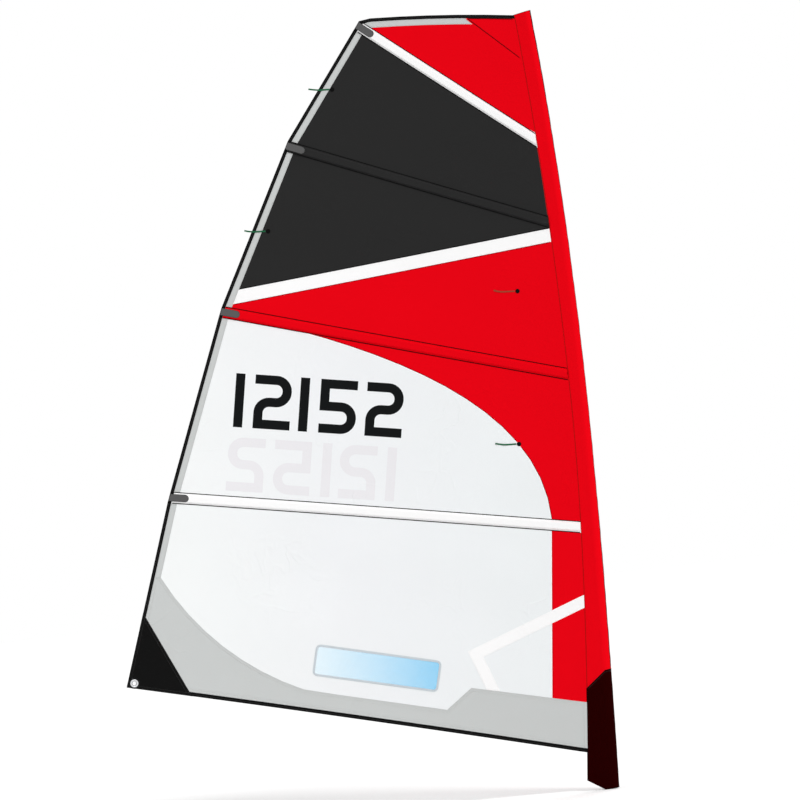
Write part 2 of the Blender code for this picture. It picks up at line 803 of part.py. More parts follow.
def box_outline(pocket, grow):
    """A tension box's outline in the sail's plane, its leech end run out past the edge."""
    frame = pocket.flat_frame()
    return [tuple((frame @ Vector((s, v, 0))).xz) for s, v in capsule(grow, -CUT_REACH)]


def tape(name, zone):
    """The stretch of the black edge binding that lies in a zone."""
    piece = without(cloth(name, WHOLE, (-FIRST[1], FIRST[1])), inside_tape(0, CUT_REACH))
    piece = eyelet_hole(within(piece, zone), EYELET_BARREL + GAP)
    for pocket in POCKET_LIST:
        piece = notched(piece, box_outline(pocket, BOX_CLOTH_GAP))
    return cambered(dress(piece, BLACK, 0.6))


def make_tapes():
    """The binding folded over the leech, head and foot, each edge on its own."""
    head_corner, clew_corner = Vector(HEAD_AFT), Vector(CLEW)
    up = Vector((-CUT_REACH, CUT_REACH))
    aside = Vector((CUT_REACH, CUT_REACH))
    gap = Vector((GAP, 0))
    tape("leech_tape", [tuple(p) for p in (clew_corner - aside - gap, clew_corner + aside - gap,
                                           head_corner - up - gap, head_corner + up - gap,
                                           Vector((FAR_AFT, HEAD_AFT[1])))])
    tape("head_tape", [tuple(head_corner - up), (FAR_FORE, HEAD_FORE_HEIGHT - CUT_REACH),
                       (FAR_FORE, FAR_TOP), (HEAD_AFT[0] - CUT_REACH, FAR_TOP),
                       tuple(head_corner + up)])
    tape("foot_tape", [tuple(clew_corner - aside), (FAR_FORE, FAR_LOW), (FAR_FORE, CLEW[1]),
                       (CLEW[0] + BEYOND, CLEW[1]), tuple(clew_corner + aside)])


def make_chevron():
    """The white angled band near the tack, one on each face."""
    top, point = Vector(CHEVRON_TOP), Vector(CHEVRON_POINT)
    low = point + (Vector(CHEVRON_FOOT) - point) * 1.5
    upper_way, lower_way = (point - top).normalized(), (low - point).normalized()
    across = Vector((upper_way.y, -upper_way.x)) * CHEVRON_WIDTH / 2
    across_low = Vector((lower_way.y, -lower_way.x)) * CHEVRON_WIDTH / 2
    mitre = (across + across_low) / (1 + upper_way.dot(lower_way))
    outline = [tuple(p) for p in (top + across, point + mitre, low + across_low,
                                  low - across_low, point - mitre, top - across)]
    for name, level in (("chevron_starboard", FIRST), ("chevron_port", (-FIRST[1], -FIRST[0]))):
        strip = within(cloth(name, CLOTH_AREA, level), outline)
        cambered(dress(without(strip, moved_edges(patch_area(), GAP)), STRIPE_WHITE, 0.6))


# Luff sleeve


def sleeve_loft(name, grow, tail_forward, tail_half):
    """A closed solid through the sleeve's teardrop sections, with its skin moved out by grow."""
    shape = bmesh.new()
    rings = []
    for seam_x, height in SEAM:
        radius = nose_radius(height)
        nose = Vector((NOSE_RADIUS_FOOT + luff_bow(height) - radius, 0))
        tail_x = seam_x + tail_forward
        tail = Vector((tail_x, camber(tail_x)))
        span = (nose - tail).length
        ahead = (nose - tail).normalized()
        side = Vector((-ahead.y, ahead.x))
        lean = math.asin((radius + grow - tail_half) / span)
        reach = math.pi / 2 + lean
        turns = [-reach + 2 * reach * i / NOSE_SEGMENTS for i in range(NOSE_SEGMENTS + 1)]
        points = [nose + (ahead * math.cos(t) + side * math.sin(t)) * (radius + grow) for t in turns]
        turns = (reach, math.pi, -reach)
        points += [tail + (ahead * math.cos(t) + side * math.sin(t)) * tail_half for t in turns]
        rings.append([shape.verts.new((p.x, p.y, height)) for p in points])
    for low, high in zip(rings, rings[1:]):
        for i in range(len(low)):
            j = (i + 1) % len(low)
            shape.faces.new((low[i], low[j], high[j], high[i]))
    shape.faces.new(rings[0][::-1])
    shape.faces.new(rings[-1])
    bmesh.ops.recalc_face_normals(shape, faces=shape.faces)
    mesh = bpy.data.meshes.new(name)
    shape.to_mesh(mesh)
    shape.free()
    return new_object(name, mesh)


def make_sleeve():
    """The luff sleeve, closed by its cap at the head, and the dark boot round its mouth."""
    seam = SLEEVE_SEAM_HALF
    boot_top = [(FAR_AFT, height_on(BOOT_TOP_AFT, BOOT_TOP_MIDDLE, FAR_AFT)), BOOT_TOP_MIDDLE,
                (FAR_FORE, height_on(BOOT_TOP_MIDDLE, BOOT_TOP_FORE, FAR_FORE))]
    head_line = ((along_polyline(SEAM, HEAD_FORE_HEIGHT), HEAD_FORE_HEIGHT), (NOSE_RADIUS_FOOT, LUFF_LENGTH))
    head_fore, head_aft = dividing(head_line, 0)[::-1]
    sleeve = sleeve_loft("luff_sleeve", 0, seam, seam)
    cavity = sleeve_loft("cavity", -SLEEVE_WALL, SLEEVE_SEAM_WIDTH, SLEEVE_CAVITY_TAIL)
    sleeve = combine(sleeve, cavity, "DIFFERENCE")
    sleeve = within(sleeve, [(x, z + GAP) for x, z in boot_top] + [head_fore, head_aft])
    dress(sleeve, RED, 0.55)
    inset, tail_half = -SLEEVE_WALL - GAP, SLEEVE_CAVITY_TAIL - GAP
    cap = sleeve_loft("sleeve_head_cap", inset, SLEEVE_SEAM_WIDTH + GAP, tail_half)
    cap_low = [(x, z - HEAD_CAP_DEPTH) for x, z in (head_aft, head_fore)]
    dress(within(cap, cap_low + [head_fore, head_aft]), BLACK, 0.6)
    boot = sleeve_loft("sleeve_boot", BOOT_SWELL, seam, seam)
    cavity = sleeve_loft("cavity", BOOT_SWELL - BOOT_WALL, SLEEVE_SEAM_WIDTH, SLEEVE_CAVITY_TAIL)
    boot = combine(boot, cavity, "DIFFERENCE")
    mouth_far = (FAR_AFT, height_on(BOOT_MOUTH_LOW, BOOT_MOUTH_AFT, FAR_AFT))
    mouth = [mouth_far, BOOT_MOUTH_LOW, (FAR_FORE, BOOT_MOUTH_FORE[1])]
    dress(within(boot, mouth + boot_top[::-1]), BOOT, 0.7)


# Batten pockets, battens and their tension boxes


def profile_frame(frame):
    """The same frame with the drawing across the pocket and up, and the thickness along it."""
    turned_frame = frame.copy()
    turned_frame.col[0], turned_frame.col[1], turned_frame.col[2] = frame.col[1], frame.col[2], frame.col[0]
    return turned_frame


def capsule(grow, leech_end):
    """A tension box's outline, straight at the leech end and round at the inner end."""
    half = BOX_WIDTH / 2 + grow
    centre = BOX_LENGTH - BOX_WIDTH / 2
    turns = [-math.pi / 2 + math.pi * i / BOX_END_POINTS for i in range(BOX_END_POINTS + 1)]
    round_end = [(centre + half * math.cos(t), half * math.sin(t)) for t in turns]
    return [(leech_end, -half)] + round_end + [(leech_end, half)]


def make_pocket(pocket):
    """A strip of cloth sewn down along both edges, raised over the batten and shut at the luff."""
    half = pocket.width / 2
    base, skin = FIRST
    top = CHANNEL_HEIGHT + POCKET_WALL
    starboard = [(half, base), (half, skin), (POCKET_FOOT_HALF, skin), (POCKET_CROWN_HALF, top)]
    outer = starboard + [(-across, level) for across, level in starboard[::-1]]
    inner_foot = POCKET_FOOT_HALF - POCKET_WALL
    inner_crown = POCKET_CROWN_HALF - POCKET_WALL
    inner_half = [(inner_foot, base - GAP), (inner_crown, CHANNEL_HEIGHT)]
    inner = inner_half + [(-across, level) for across, level in inner_half[::-1]]
    frame = profile_frame(pocket.flat_frame())
    body = prism(f"batten_pocket_{pocket.number}", [outer], -CUT_REACH, pocket.length + CUT_REACH, frame)
    channel = prism("channel", [inner], -2 * CUT_REACH, pocket.channel_end, frame)
    body = within(combine(body, channel, "DIFFERENCE"), CLOTH_AREA)
    body = without(body, box_outline(pocket, BOX_CLOTH_GAP))
    colour = {1: STRIPE_WHITE, 2: DARK, 3: RED, 4: STRIPE_WHITE}[pocket.number]
    cambered(dress(body, colour, 0.6))


def make_box(pocket, frame):
    """The moulded housing on the leech, with a channel right through it and a wider mouth."""
    roof = BATTEN_LEVEL + CHANNEL_DEEP / 2 + BOX_ROOF
    box = prism(f"tension_box_{pocket.number}", [capsule(0, -CUT_REACH / 2)], FIRST[0], roof, frame)
    bevel = box.modifiers.new("edge", "BEVEL")
    bevel.width = BOX_BEVEL
    bevel.segments = 2
    bevel.limit_method = "ANGLE"
    bevel.angle_limit = math.radians(60)
    bake(box)
    along = profile_frame(frame)
    channel = (CHANNEL_WIDTH, CHANNEL_DEEP, BOX_LENGTH + CUT_REACH)
    for width, deep, end in (channel, (RECESS_WIDTH, RECESS_DEEP, RECESS_LENGTH)):
        slot = rectangle(-width / 2, width / 2, BATTEN_LEVEL - deep / 2, BATTEN_LEVEL + deep / 2)
        box = combine(box, prism("slot", [slot], -CUT_REACH, end, along), "DIFFERENCE")
    dress(within(box, sail_outline(BOX_EDGE_MARGIN, BOX_EDGE_MARGIN)), MOULDED, 0.45)


def make_cap(pocket, frame):
    """The plug in the box's mouth that the tension screw's head bears on."""
    half_wide, half_deep = RECESS_WIDTH / 2 - GAP, RECESS_DEEP / 2 - GAP
    block = rectangle(-half_wide, half_wide, BATTEN_LEVEL - half_deep, BATTEN_LEVEL + half_deep)
    along = profile_frame(frame)
    cap = prism(f"batten_cap_{pocket.number}", [block], CAP_START, RECESS_LENGTH - GAP, along)
    middle = (0, BATTEN_LEVEL)
    seat = CAP_START + SCREW_HEAD_LENGTH + 2 * GAP
    for radius, end in ((SCREW_HEAD_RADIUS, seat), (SCREW_RADIUS, RECESS_LENGTH)):
        hole = circle(middle, radius + SCREW_CLEARANCE, SCREW_STEPS)
        cap = combine(cap, prism("hole", [hole], 0, end, along), "DIFFERENCE")
    return dress(cap, MOULDED, 0.45)


def make_screw(pocket, frame):
    """The tension screw, with a hexagon socket in its head that faces the leech."""
    along = profile_frame(frame) @ Matrix.Translation((0, BATTEN_LEVEL, CAP_START + GAP))
    point = SCREW_HEAD_LENGTH + SCREW_LENGTH
    shank = [(0, point), (SCREW_RADIUS, point), (SCREW_RADIUS, SCREW_HEAD_LENGTH)]
    profile = shank + [(SCREW_HEAD_RADIUS, SCREW_HEAD_LENGTH), (SCREW_HEAD_RADIUS, 0), (0, 0)]
    screw = turned(f"tension_screw_{pocket.number}", profile, False, along, SCREW_STEPS)
    socket = prism("socket", [circle((0, 0), HEX_RADIUS, 6)], -HEX_DEPTH, HEX_DEPTH, along)
    screw = combine(screw, socket, "DIFFERENCE")
    return dress(screw, METAL, 0.3, metallic=1.0)


def make_pusher(pocket, frame):
    """The nut that the screw drives along the box, with a socket that holds the batten's end."""
    along = profile_frame(frame)
    half_wide, half_deep = CHANNEL_WIDTH / 2 - GAP, CHANNEL_DEEP / 2 - GAP
    block = rectangle(-half_wide, half_wide, BATTEN_LEVEL - half_deep, BATTEN_LEVEL + half_deep)
    end = PUSHER_START + PUSHER_LENGTH
    pusher = prism(f"tension_pusher_{pocket.number}", [block], PUSHER_START, end, along)
    bore = circle((0, BATTEN_LEVEL), SCREW_RADIUS + SCREW_CLEARANCE, SCREW_STEPS)
    pusher = combine(pusher, prism("bore", [bore], 0, end, along), "DIFFERENCE")
    grip_wide = BATTEN_WIDTH_LEECH / 2 + SOCKET_CLEARANCE
    grip_deep = BATTEN_THICK_LEECH / 2 + SOCKET_CLEARANCE
    socket = rectangle(-grip_wide, grip_wide, BATTEN_LEVEL - grip_deep, BATTEN_LEVEL + grip_deep)
    floor = PUSHER_START + PUSHER_FLOOR
    pusher = combine(pusher, prism("socket", [socket], floor, end + GAP, along), "DIFFERENCE")
    return dress(pusher, BLACK, 0.4)


def batten_start(frame, stretch):
    """Where the batten begins, from the leech, so that the pusher's travel ends just short of it."""
    lean = max(0, frame.col[0].y) * (BATTEN_LEVEL + BATTEN_THICK_LEECH / 2)
    return (PUSHER_START + PUSHER_FLOOR + PUSHER_TRAVEL + 2 * GAP + lean) / stretch


def make_batten(pocket, start):
    """A tapered glass-fibre batten along the pocket, from its leech end at start."""
    end = pocket.channel_end - GAP - (TIP_LENGTH - TIP_GRIP)
    half_leech, half_luff = BATTEN_WIDTH_LEECH / 2, BATTEN_WIDTH_LUFF / 2
    outline = [(start, -half_leech), (end - TIP_LENGTH, -half_luff), (end, -half_luff),
               (end, half_luff), (end - TIP_LENGTH, half_luff), (start, half_leech)]
    low, high = BATTEN_LEVEL - BATTEN_THICK_LEECH / 2, BATTEN_LEVEL + BATTEN_THICK_LEECH / 2
    batten = prism(f"batten_{pocket.number}", [outline], low, high, Matrix.Identity(4))
    bevel = batten.modifiers.new("edge", "BEVEL")
    bevel.width = BATTEN_EDGE
    bevel.segments = 1
    bevel.limit_method = "ANGLE"
    bevel.angle_limit = math.radians(60)
    bake(batten)
    for vert in batten.data.vertices:
        share = min(1, (vert.co.x - start) / (end - TIP_LENGTH - start))
        thinning = 1 + (BATTEN_THICK_LUFF / BATTEN_THICK_LEECH - 1) * share
        vert.co.z = BATTEN_LEVEL + (vert.co.z - BATTEN_LEVEL) * thinning
    batten.data.transform(pocket.flat_frame())
    return cambered(dress(batten, GLASS_FIBRE, 0.35))


def make_tip(pocket):
    """The moulded shoe on the batten's luff end, rounded so that it doesn't wear the pocket."""
    end = pocket.channel_end - GAP
    start = end - TIP_LENGTH
    half = TIP_WIDTH / 2
    turns = [-math.pi / 2 + math.pi * i / TIP_POINTS for i in range(TIP_POINTS + 1)]
    round_end = [(end - half + half * math.cos(t), half * math.sin(t)) for t in turns]
    outline = [(start, -half)] + round_end + [(start, half)]
    frame = pocket.flat_frame()
    low, high = BATTEN_LEVEL - TIP_THICK / 2, BATTEN_LEVEL + TIP_THICK / 2
    tip = prism(f"batten_tip_{pocket.number}", [outline], low, high, frame)
    wide = BATTEN_WIDTH_LUFF / 2 + GAP
    thick = BATTEN_THICK_LUFF / 2 + GAP
    slot = rectangle(-wide, wide, BATTEN_LEVEL - thick, BATTEN_LEVEL + thick)
    slot_end = end - (TIP_LENGTH - TIP_GRIP) + GAP
    tip = combine(tip, prism("slot", [slot], start - CUT_REACH, slot_end, profile_frame(frame)), "DIFFERENCE")
    return cambered(dress(tip, MOULDED, 0.45))


def make_battens():
    """Every pocket with its box, and the battens on empties at the centres of their round paths."""
    for pocket in POCKET_LIST:
        frame, stretch = pocket.hardware_frame()
        make_pocket(pocket)
        make_box(pocket, frame)
        centre = pivot(f"batten_{pocket.number}_path", pocket.arc_centre())
        batten = make_batten(pocket, batten_start(frame, stretch))
        for piece in (batten, make_tip(pocket), make_cap(pocket, frame)):
            hang_on(centre, piece)
        axis_point = (frame @ Vector((CAP_START, 0, BATTEN_LEVEL, 1))).xyz
        place_origin(make_screw(pocket, frame), axis_point)
        place_origin(make_pusher(pocket, frame), axis_point)


# Clew eyelet and telltales


def make_eyelet():
    """The pressed eyelet: a barrel with its flange on starboard, and a ring closed over it on port."""
    centre_x, centre_z = EYELET_CENTRE
    slope = (camber(centre_x + EYELET_BORE) - camber(centre_x - EYELET_BORE)) / (2 * EYELET_BORE)
    frame = Matrix.Identity(4)
    frame.col[0] = (*Vector((1, slope, 0)).normalized(), 0)
    frame.col[1] = (0, 0, 1, 0)
    frame.col[2] = (*Vector((slope, -1, 0)).normalized(), 0)
    frame.col[3] = (centre_x, camber(centre_x), centre_z, 1)
    seat = SECOND[1] + GAP + EYELET_FLANGE * slope**2
    face = seat + EYELET_PLATE
    roll_centre = EYELET_FLANGE - EYELET_ROLL
    turns = [math.pi * i / EYELET_ROLL_STEPS for i in range(EYELET_ROLL_STEPS + 1)]
    roll = [(roll_centre - EYELET_ROLL * math.cos(t), face + EYELET_RISE * math.sin(t)) for t in turns]
    flange = [(EYELET_BORE, face)] + roll + [(EYELET_FLANGE, seat)]
    barrel_end = -face + GAP
    barrel = [(EYELET_BARREL, seat), (EYELET_BARREL, barrel_end), (EYELET_BORE, barrel_end)]
    dress(turned("clew_eyelet", flange + barrel, True, frame, EYELET_STEPS), METAL, 0.3, metallic=1.0)
    ring_bore = EYELET_BARREL + GAP
    ring = [(ring_bore, face)] + flange[1:] + [(ring_bore, seat)]
    flipped = frame @ Matrix.Rotation(math.pi, 4, "X")
    dress(turned("clew_eyelet_ring", ring, True, flipped, EYELET_STEPS), METAL, 0.3, metallic=1.0)


def ribbon_frame(centre):
    """Drawing x along a ribbon from its sticker, drawing y up across it, and the level."""
    ahead = Vector((-math.cos(RIBBON_RISE), math.sin(RIBBON_RISE)))
    root = Vector(centre) + ahead * (DOT_RADIUS + RIBBON_GAP)
    frame = Matrix.Identity(4)
    frame.col[0] = (ahead.x, 0, ahead.y, 0)
    frame.col[1] = (-ahead.y, 0, ahead.x, 0)
    frame.col[2] = (0, -1, 0, 0)
    frame.col[3] = (root.x, 0, root.y, 1)
    return frame


def make_telltales():
    """Four light ribbons, each held by a round sticker and free to lift off the cloth."""
    for i, (centre, over_tape) in enumerate(TELLTALES):
        low = (FIRST[1] if over_tape else FACE) + RIBBON_LIFT
        frame = ribbon_frame(centre)
        outline = rectangle(0, RIBBON_LENGTH, -RIBBON_WIDTH / 2, RIBBON_WIDTH / 2)
        ribbon = prism(f"telltale_{i + 1}", [outline], low, low + RIBBON_THICK, frame)
        cambered(dress(ribbon, GREEN, 0.7))
        root = (frame @ Vector((0, 0, low + RIBBON_THICK / 2, 1))).xyz
        place_origin(ribbon, Vector((root.x, root.y + camber(root.x), root.z)))
        sticker = circle(centre, DOT_RADIUS, DOT_POINTS)
        dot = cloth(f"telltale_dot_{i + 1}", sticker, (FIRST[0], low + RIBBON_THICK))
        cambered(dress(dot, BLACK, 0.5))


clear_scene()
PART = bpy.data.collections.new("dinghy_sail")
bpy.context.scene.collection.children.link(PART)
make_panels()
make_window()
make_reinforcement()
make_tabling()
make_tapes()
make_chevron()
make_sleeve()
make_battens()
make_eyelet()
make_telltales()
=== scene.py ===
"""The looks of a youth dinghy's sail: its cloth, stitching, number, fittings and the studio.

Frame: metres, +Z up along the luff, +X forward, +Y to port, and the origin at the sleeve's mouth.
Cloth is worked on flat, with y as minus its level, and then laid on the sail's belly. A level is a
distance from the cloth's middle towards starboard, the face that the camera sees.
"""

import json
import logging
import math
from contextlib import contextmanager
from dataclasses import dataclass, field
from enum import Enum
from typing import Callable, Iterator, Optional, Sequence

import bpy
from mathutils import Matrix, Vector, noise


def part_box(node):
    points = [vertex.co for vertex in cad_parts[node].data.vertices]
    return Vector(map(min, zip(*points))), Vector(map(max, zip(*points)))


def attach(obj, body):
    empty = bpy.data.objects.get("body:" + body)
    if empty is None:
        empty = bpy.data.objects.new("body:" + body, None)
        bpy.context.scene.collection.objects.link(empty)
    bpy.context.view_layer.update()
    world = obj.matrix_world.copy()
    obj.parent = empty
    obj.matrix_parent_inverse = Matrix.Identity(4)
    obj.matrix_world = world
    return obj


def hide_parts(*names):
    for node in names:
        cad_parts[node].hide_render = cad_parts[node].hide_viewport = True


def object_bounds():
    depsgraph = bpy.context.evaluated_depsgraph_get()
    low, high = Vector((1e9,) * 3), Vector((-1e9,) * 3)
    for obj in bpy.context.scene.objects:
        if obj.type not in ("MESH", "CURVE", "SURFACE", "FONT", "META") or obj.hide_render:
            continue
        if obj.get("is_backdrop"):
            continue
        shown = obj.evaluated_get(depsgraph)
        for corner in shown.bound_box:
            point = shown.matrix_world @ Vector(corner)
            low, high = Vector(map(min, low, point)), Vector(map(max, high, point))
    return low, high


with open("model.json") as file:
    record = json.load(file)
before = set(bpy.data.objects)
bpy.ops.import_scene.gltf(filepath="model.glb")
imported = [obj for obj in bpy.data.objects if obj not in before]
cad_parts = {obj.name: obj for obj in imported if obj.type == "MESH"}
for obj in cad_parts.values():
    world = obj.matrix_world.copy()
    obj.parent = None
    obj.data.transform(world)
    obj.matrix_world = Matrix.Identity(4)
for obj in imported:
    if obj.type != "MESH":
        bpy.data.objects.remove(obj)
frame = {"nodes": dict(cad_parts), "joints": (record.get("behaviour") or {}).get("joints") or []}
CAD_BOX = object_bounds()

LOG = logging.getLogger("dinghy_sail")
Point = tuple[float, float]
Line = list[Vector]
Colour = tuple[int, int, int]
MESH = bpy.types.Object
Socket = bpy.types.NodeSocket
Placing = Callable[[float, float], Vector]
CutHeight = Callable[[float], float]
ROOT_BODY = "sail"


class Slot(Enum):
    """The record's material slots."""

    RED = "red_cloth"
    DARK = "dark_cloth"
    WHITE = "white_cloth"
    INSERT = "white_insert"
    GREY = "grey_reinforcement"
    BINDING = "black_binding"
    BOOT = "boot_cloth"
    FILM = "window_film"
    WINDOW_SEAM = "window_seam"
    MOULDED = "moulded_plastic"
    PUSHER = "pusher_plastic"
    GLASS_FIBRE = "glass_fibre"
    STEEL = "steel"
    RIBBON = "telltale_ribbon"
    STICKER = "telltale_sticker"


class Face(Enum):
    """A face of the sail, as the sign of its level."""

    STARBOARD = 1
    PORT = -1


# Levels of the layers, as the frame has them
CLOTH_FACE = 0.0005
LAYER_INNER = 0.0008
LAYER_OUTER = 0.0014
PATCH_INNER = 0.0017
PATCH_OUTER = 0.0023
FILM_FACE = 0.0003
POCKET_ROOF_INNER = 0.0090
POCKET_ROOF = 0.0097
SAME_LEVEL = 1e-5


# Shader groups and the node writer


def linear(colour: Colour) -> tuple[float, float, float, float]:
    """Turns sRGB bytes into the linear values that a shader takes."""
    shares = (c / 255 for c in colour)
    return (*(v / 12.92 if v < 0.04045 else ((v + 0.055) / 1.055) ** 2.4 for v in shares), 1.0)


class NodeWriter:
    """Adds nodes to one shader tree and joins their sockets."""

    def __init__(self, tree: bpy.types.NodeTree) -> None:
        """Keeps the tree that the nodes go in."""
        self.tree = tree

    def add(self, kind: str, inputs: Optional[dict[str, object]] = None,
            **settings: object) -> bpy.types.Node:
        """Adds a node.

        Args:
            kind: The node's type name.
            inputs: What its inputs take, by name: sockets or plain values.
            settings: Properties of the node by name.
        Returns:
            The new node.
        """
        node = self.tree.nodes.new(kind)
        for name, value in settings.items():
            setattr(node, name, value)
        self.feed_all(node, inputs or {})
        return node

    def feed(self, target: Socket, source: object) -> None:
        """Joins a socket, or sets a plain value, on an input.

        Args:
            target: The input.
            source: Another node's output, or the value.
        """
        if isinstance(source, Socket):
            self.tree.links.new(source, target)
        else:
            target.default_value = source

    def feed_all(self, node: bpy.types.Node, inputs: dict[str, object]) -> None:
        """Feeds a node's inputs by name."""
        for name, value in inputs.items():
            self.feed(node.inputs[name], value)

    def math(self, operation: str, *values: object) -> Socket:
        """A Math node on the given values.

        Args:
            operation: The node's operation.
            values: Sockets or numbers, in order.
        Returns:
            The node's result.
        """
        node = self.add("ShaderNodeMath", operation=operation)
        for socket, value in zip(node.inputs, values):
            self.feed(socket, value)
        return node.outputs[0]

    def noise(self, place: object, scale: object, **others: float) -> Socket:
        """A noise texture's value at a place, with its other inputs by name."""
        inputs = {"Vector": place, "Scale": scale, **others}
        return self.add("ShaderNodeTexNoise", inputs).outputs["Fac"]

    def bump(self, height: object, depth: float, **others: object) -> Socket:
        """A normal bent by a height, where depth is what a height of 1 measures in metres."""
        inputs = {"Distance": depth, "Height": height, **others}
        return self.add("ShaderNodeBump", inputs).outputs["Normal"]

    def axis(self, place: object, name: str) -> Socket:
        """One coordinate of a place."""
        return self.add("ShaderNodeSeparateXYZ", {"Vector": place}).outputs[name]

    def between(self, source: object, low: float, high: float) -> Socket:
        """The source's place between two values, clamped from 0 to 1."""
        inputs = {"Value": source, "From Min": low, "From Max": high}
        return self.add("ShaderNodeMapRange", inputs).outputs[0]

    def graded(self, source: object, stops: Sequence[tuple[float, Colour]]) -> Socket:
        """A colour that changes with a value.

        Args:
            source: The value's socket.
            stops: Pairs of a value and its colour, in order.
        Returns:
            The colour.
        """
        low, high = stops[0][0], stops[-1][0]
        node = self.add("ShaderNodeValToRGB")
        elements = node.color_ramp.elements
        while len(elements) < len(stops):
            elements.new(1.0)
        for element, (value, colour) in zip(elements, stops):
            element.position = (value - low) / (high - low)
            element.color = linear(colour)
        self.feed(node.inputs[0], self.between(source, low, high))
        return node.outputs[0]

    def mixed(self, share: object, first: object, second: object, blend: str = "MIX") -> Socket:
        """Two colours mixed, where the share says how much of the second there is."""
        inputs = {"Factor": share, "A": first, "B": second}
        node = self.add("ShaderNodeMix", inputs, data_type="RGBA", blend_type=blend)
        return node.outputs["Result"]

    def seen_straight(self) -> Socket:
        """1 for rays from the camera and from reflections, 0 for the light's other ways."""
        path = self.add("ShaderNodeLightPath").outputs
        return self.math("MAXIMUM", path["Is Camera Ray"], path["Is Glossy Ray"])


@dataclass(frozen=True)
class SharedEffect:
    """A shader group that many finishes share: a vector and one setting in, and numbers out.

    Its wire function takes a writer, the vector's socket and the setting's socket, and gives the
    outputs by name.
    """

    name: str
    setting: str
    wire: Callable[[NodeWriter, object, object], dict[str, object]]

    def tree(self) -> bpy.types.NodeTree:
        """The group, made when it is first asked for.

        Returns:
            The group.
        """
        known = bpy.data.node_groups.get(self.name)
        if known:
            return known
        tree = bpy.data.node_groups.new(self.name, "ShaderNodeTree")
        for name, kind in (("Vector", "Vector"), (self.setting, "Float")):
            tree.interface.new_socket(name, in_out="INPUT", socket_type=f"NodeSocket{kind}")
        write = NodeWriter(tree)
        given = write.add("NodeGroupInput").outputs
        results = self.wire(write, given["Vector"], given[self.setting])
        for name in results:
            tree.interface.new_socket(name, in_out="OUTPUT", socket_type="NodeSocketFloat")
        write.add("NodeGroupOutput", results)
        return tree

    def on(self, write: NodeWriter, place: object, value: float) -> bpy.types.NodeOutputs:
        """Places the group in a material at a place and a setting, and gives its outputs."""
        inputs = {"Vector": place, self.setting: value}
        return write.add("ShaderNodeGroup", inputs, node_tree=self.tree()).outputs


def wire_weave(write: NodeWriter, place: object, threads: object) -> dict[str, object]:
    """A plain weave: raised crossings of warp and weft in the sail's plane.

    Args:
        write: The writer of the group's tree.
        place: The coordinates.
        threads: Threads per metre.
    Returns:
        The outputs by name.
    """
    parts = write.add("ShaderNodeSeparateXYZ", {"Vector": place}).outputs
    turns = write.math("MULTIPLY", threads, math.pi)
    warp, weft = (write.math("SINE", write.math("MULTIPLY", parts[axis], turns)) for axis in "XZ")
    crossing = write.math("MULTIPLY", warp, weft)
    return {"Height": write.math("MULTIPLY_ADD", crossing, 0.5, 0.5)}


def wire_crinkle(write: NodeWriter, place: object, size: object) -> dict[str, object]:
    """Creases of handled, resin-finished cloth: thin bent ridges over soft dents.

    Args:
        write: The writer of the group's tree.
        place: The coordinates.
        size: How large the creases are, in metres.
    Returns:
        The outputs by name.
    """
    scale = write.math("DIVIDE", 1.0, size)
    bends = write.noise(place, scale, Detail=2.0, Distortion=0.6)
    middle = write.math("ABSOLUTE", write.math("SUBTRACT", bends, 0.5))
    ridge = write.between(middle, 0.035, 0.0)
    dents = write.noise(place, write.math("MULTIPLY", scale, 0.45), Detail=3.0)
    crease = write.math("MULTIPLY", ridge, write.between(dents, 0.45, 0.7))
    return {"Height": write.math("MULTIPLY_ADD", dents, 1.4, crease), "Mask": crease}


def wire_handling(write: NodeWriter, place: object, amount: object) -> dict[str, object]:
    """Faint uneven tone from use, near 1: cloudy soiling with fine specks.

    Args:
        write: The writer of the group's tree.
        place: The coordinates.
        amount: How strong it is.
    Returns:
        The outputs by name.
    """
    clouds = write.noise(place, 3.2, Detail=5.0)
    both = write.math("MULTIPLY_ADD", write.noise(place, 160.0), 0.35, clouds)
    off = write.math("MULTIPLY", write.math("SUBTRACT", both, 0.675), amount)
    return {"Tone": write.math("ADD", off, 1.0)}


WEAVE = SharedEffect("plain_weave", "Threads", wire_weave)
CRINKLE = SharedEffect("crinkle", "Size", wire_crinkle)
HANDLING = SharedEffect("handling", "Amount", wire_handling)


def soiled_and_shaded(write: NodeWriter, place: object, base: object, amount: float,
           shade: object = 1.0) -> Socket:
    """A colour with the faint tones of use, times any painted shade that is given.

    Args:
        write: The writer of the material's tree.
        place: The object coordinates.
        base: The colour or its socket.
        amount: How strong the soiling is.
        shade: Painted shade that darkens the colour further, as in the weave's hollows.
    Returns:
        The toned colour.
    """
    tone = write.math("MULTIPLY", HANDLING.on(write, place, amount)["Tone"], shade)
    grey = write.add("ShaderNodeCombineColor", dict.fromkeys(("Red", "Green", "Blue"), tone))
    return write.mixed(1.0, base, grey.outputs[0], "MULTIPLY")


# Finishes


@dataclass(frozen=True)
class Finish:
    """A material of one of the record's slots."""

    name: str
    slot: Slot

    def material(self) -> bpy.types.Material:
        """The finish as a material, made once.

        Returns:
            The material.
        """
        known = bpy.data.materials.get(self.name)
        if known:
            return known
        material = bpy.data.materials.new(self.name)
        material.use_nodes = True
        write = NodeWriter(material.node_tree)
        place = write.add("ShaderNodeTexCoord").outputs["Object"]
        write.feed_all(material.node_tree.nodes["Principled BSDF"], self.paint(write, place))
        return material

    def paint(self, write: NodeWriter, place: object) -> dict[str, object]:
        """Writes the material's own nodes.

        Args:
            write: The writer of the material's tree.
            place: The object coordinates.
        Returns:
            What the shader's inputs take, by name.
        """
        raise NotImplementedError


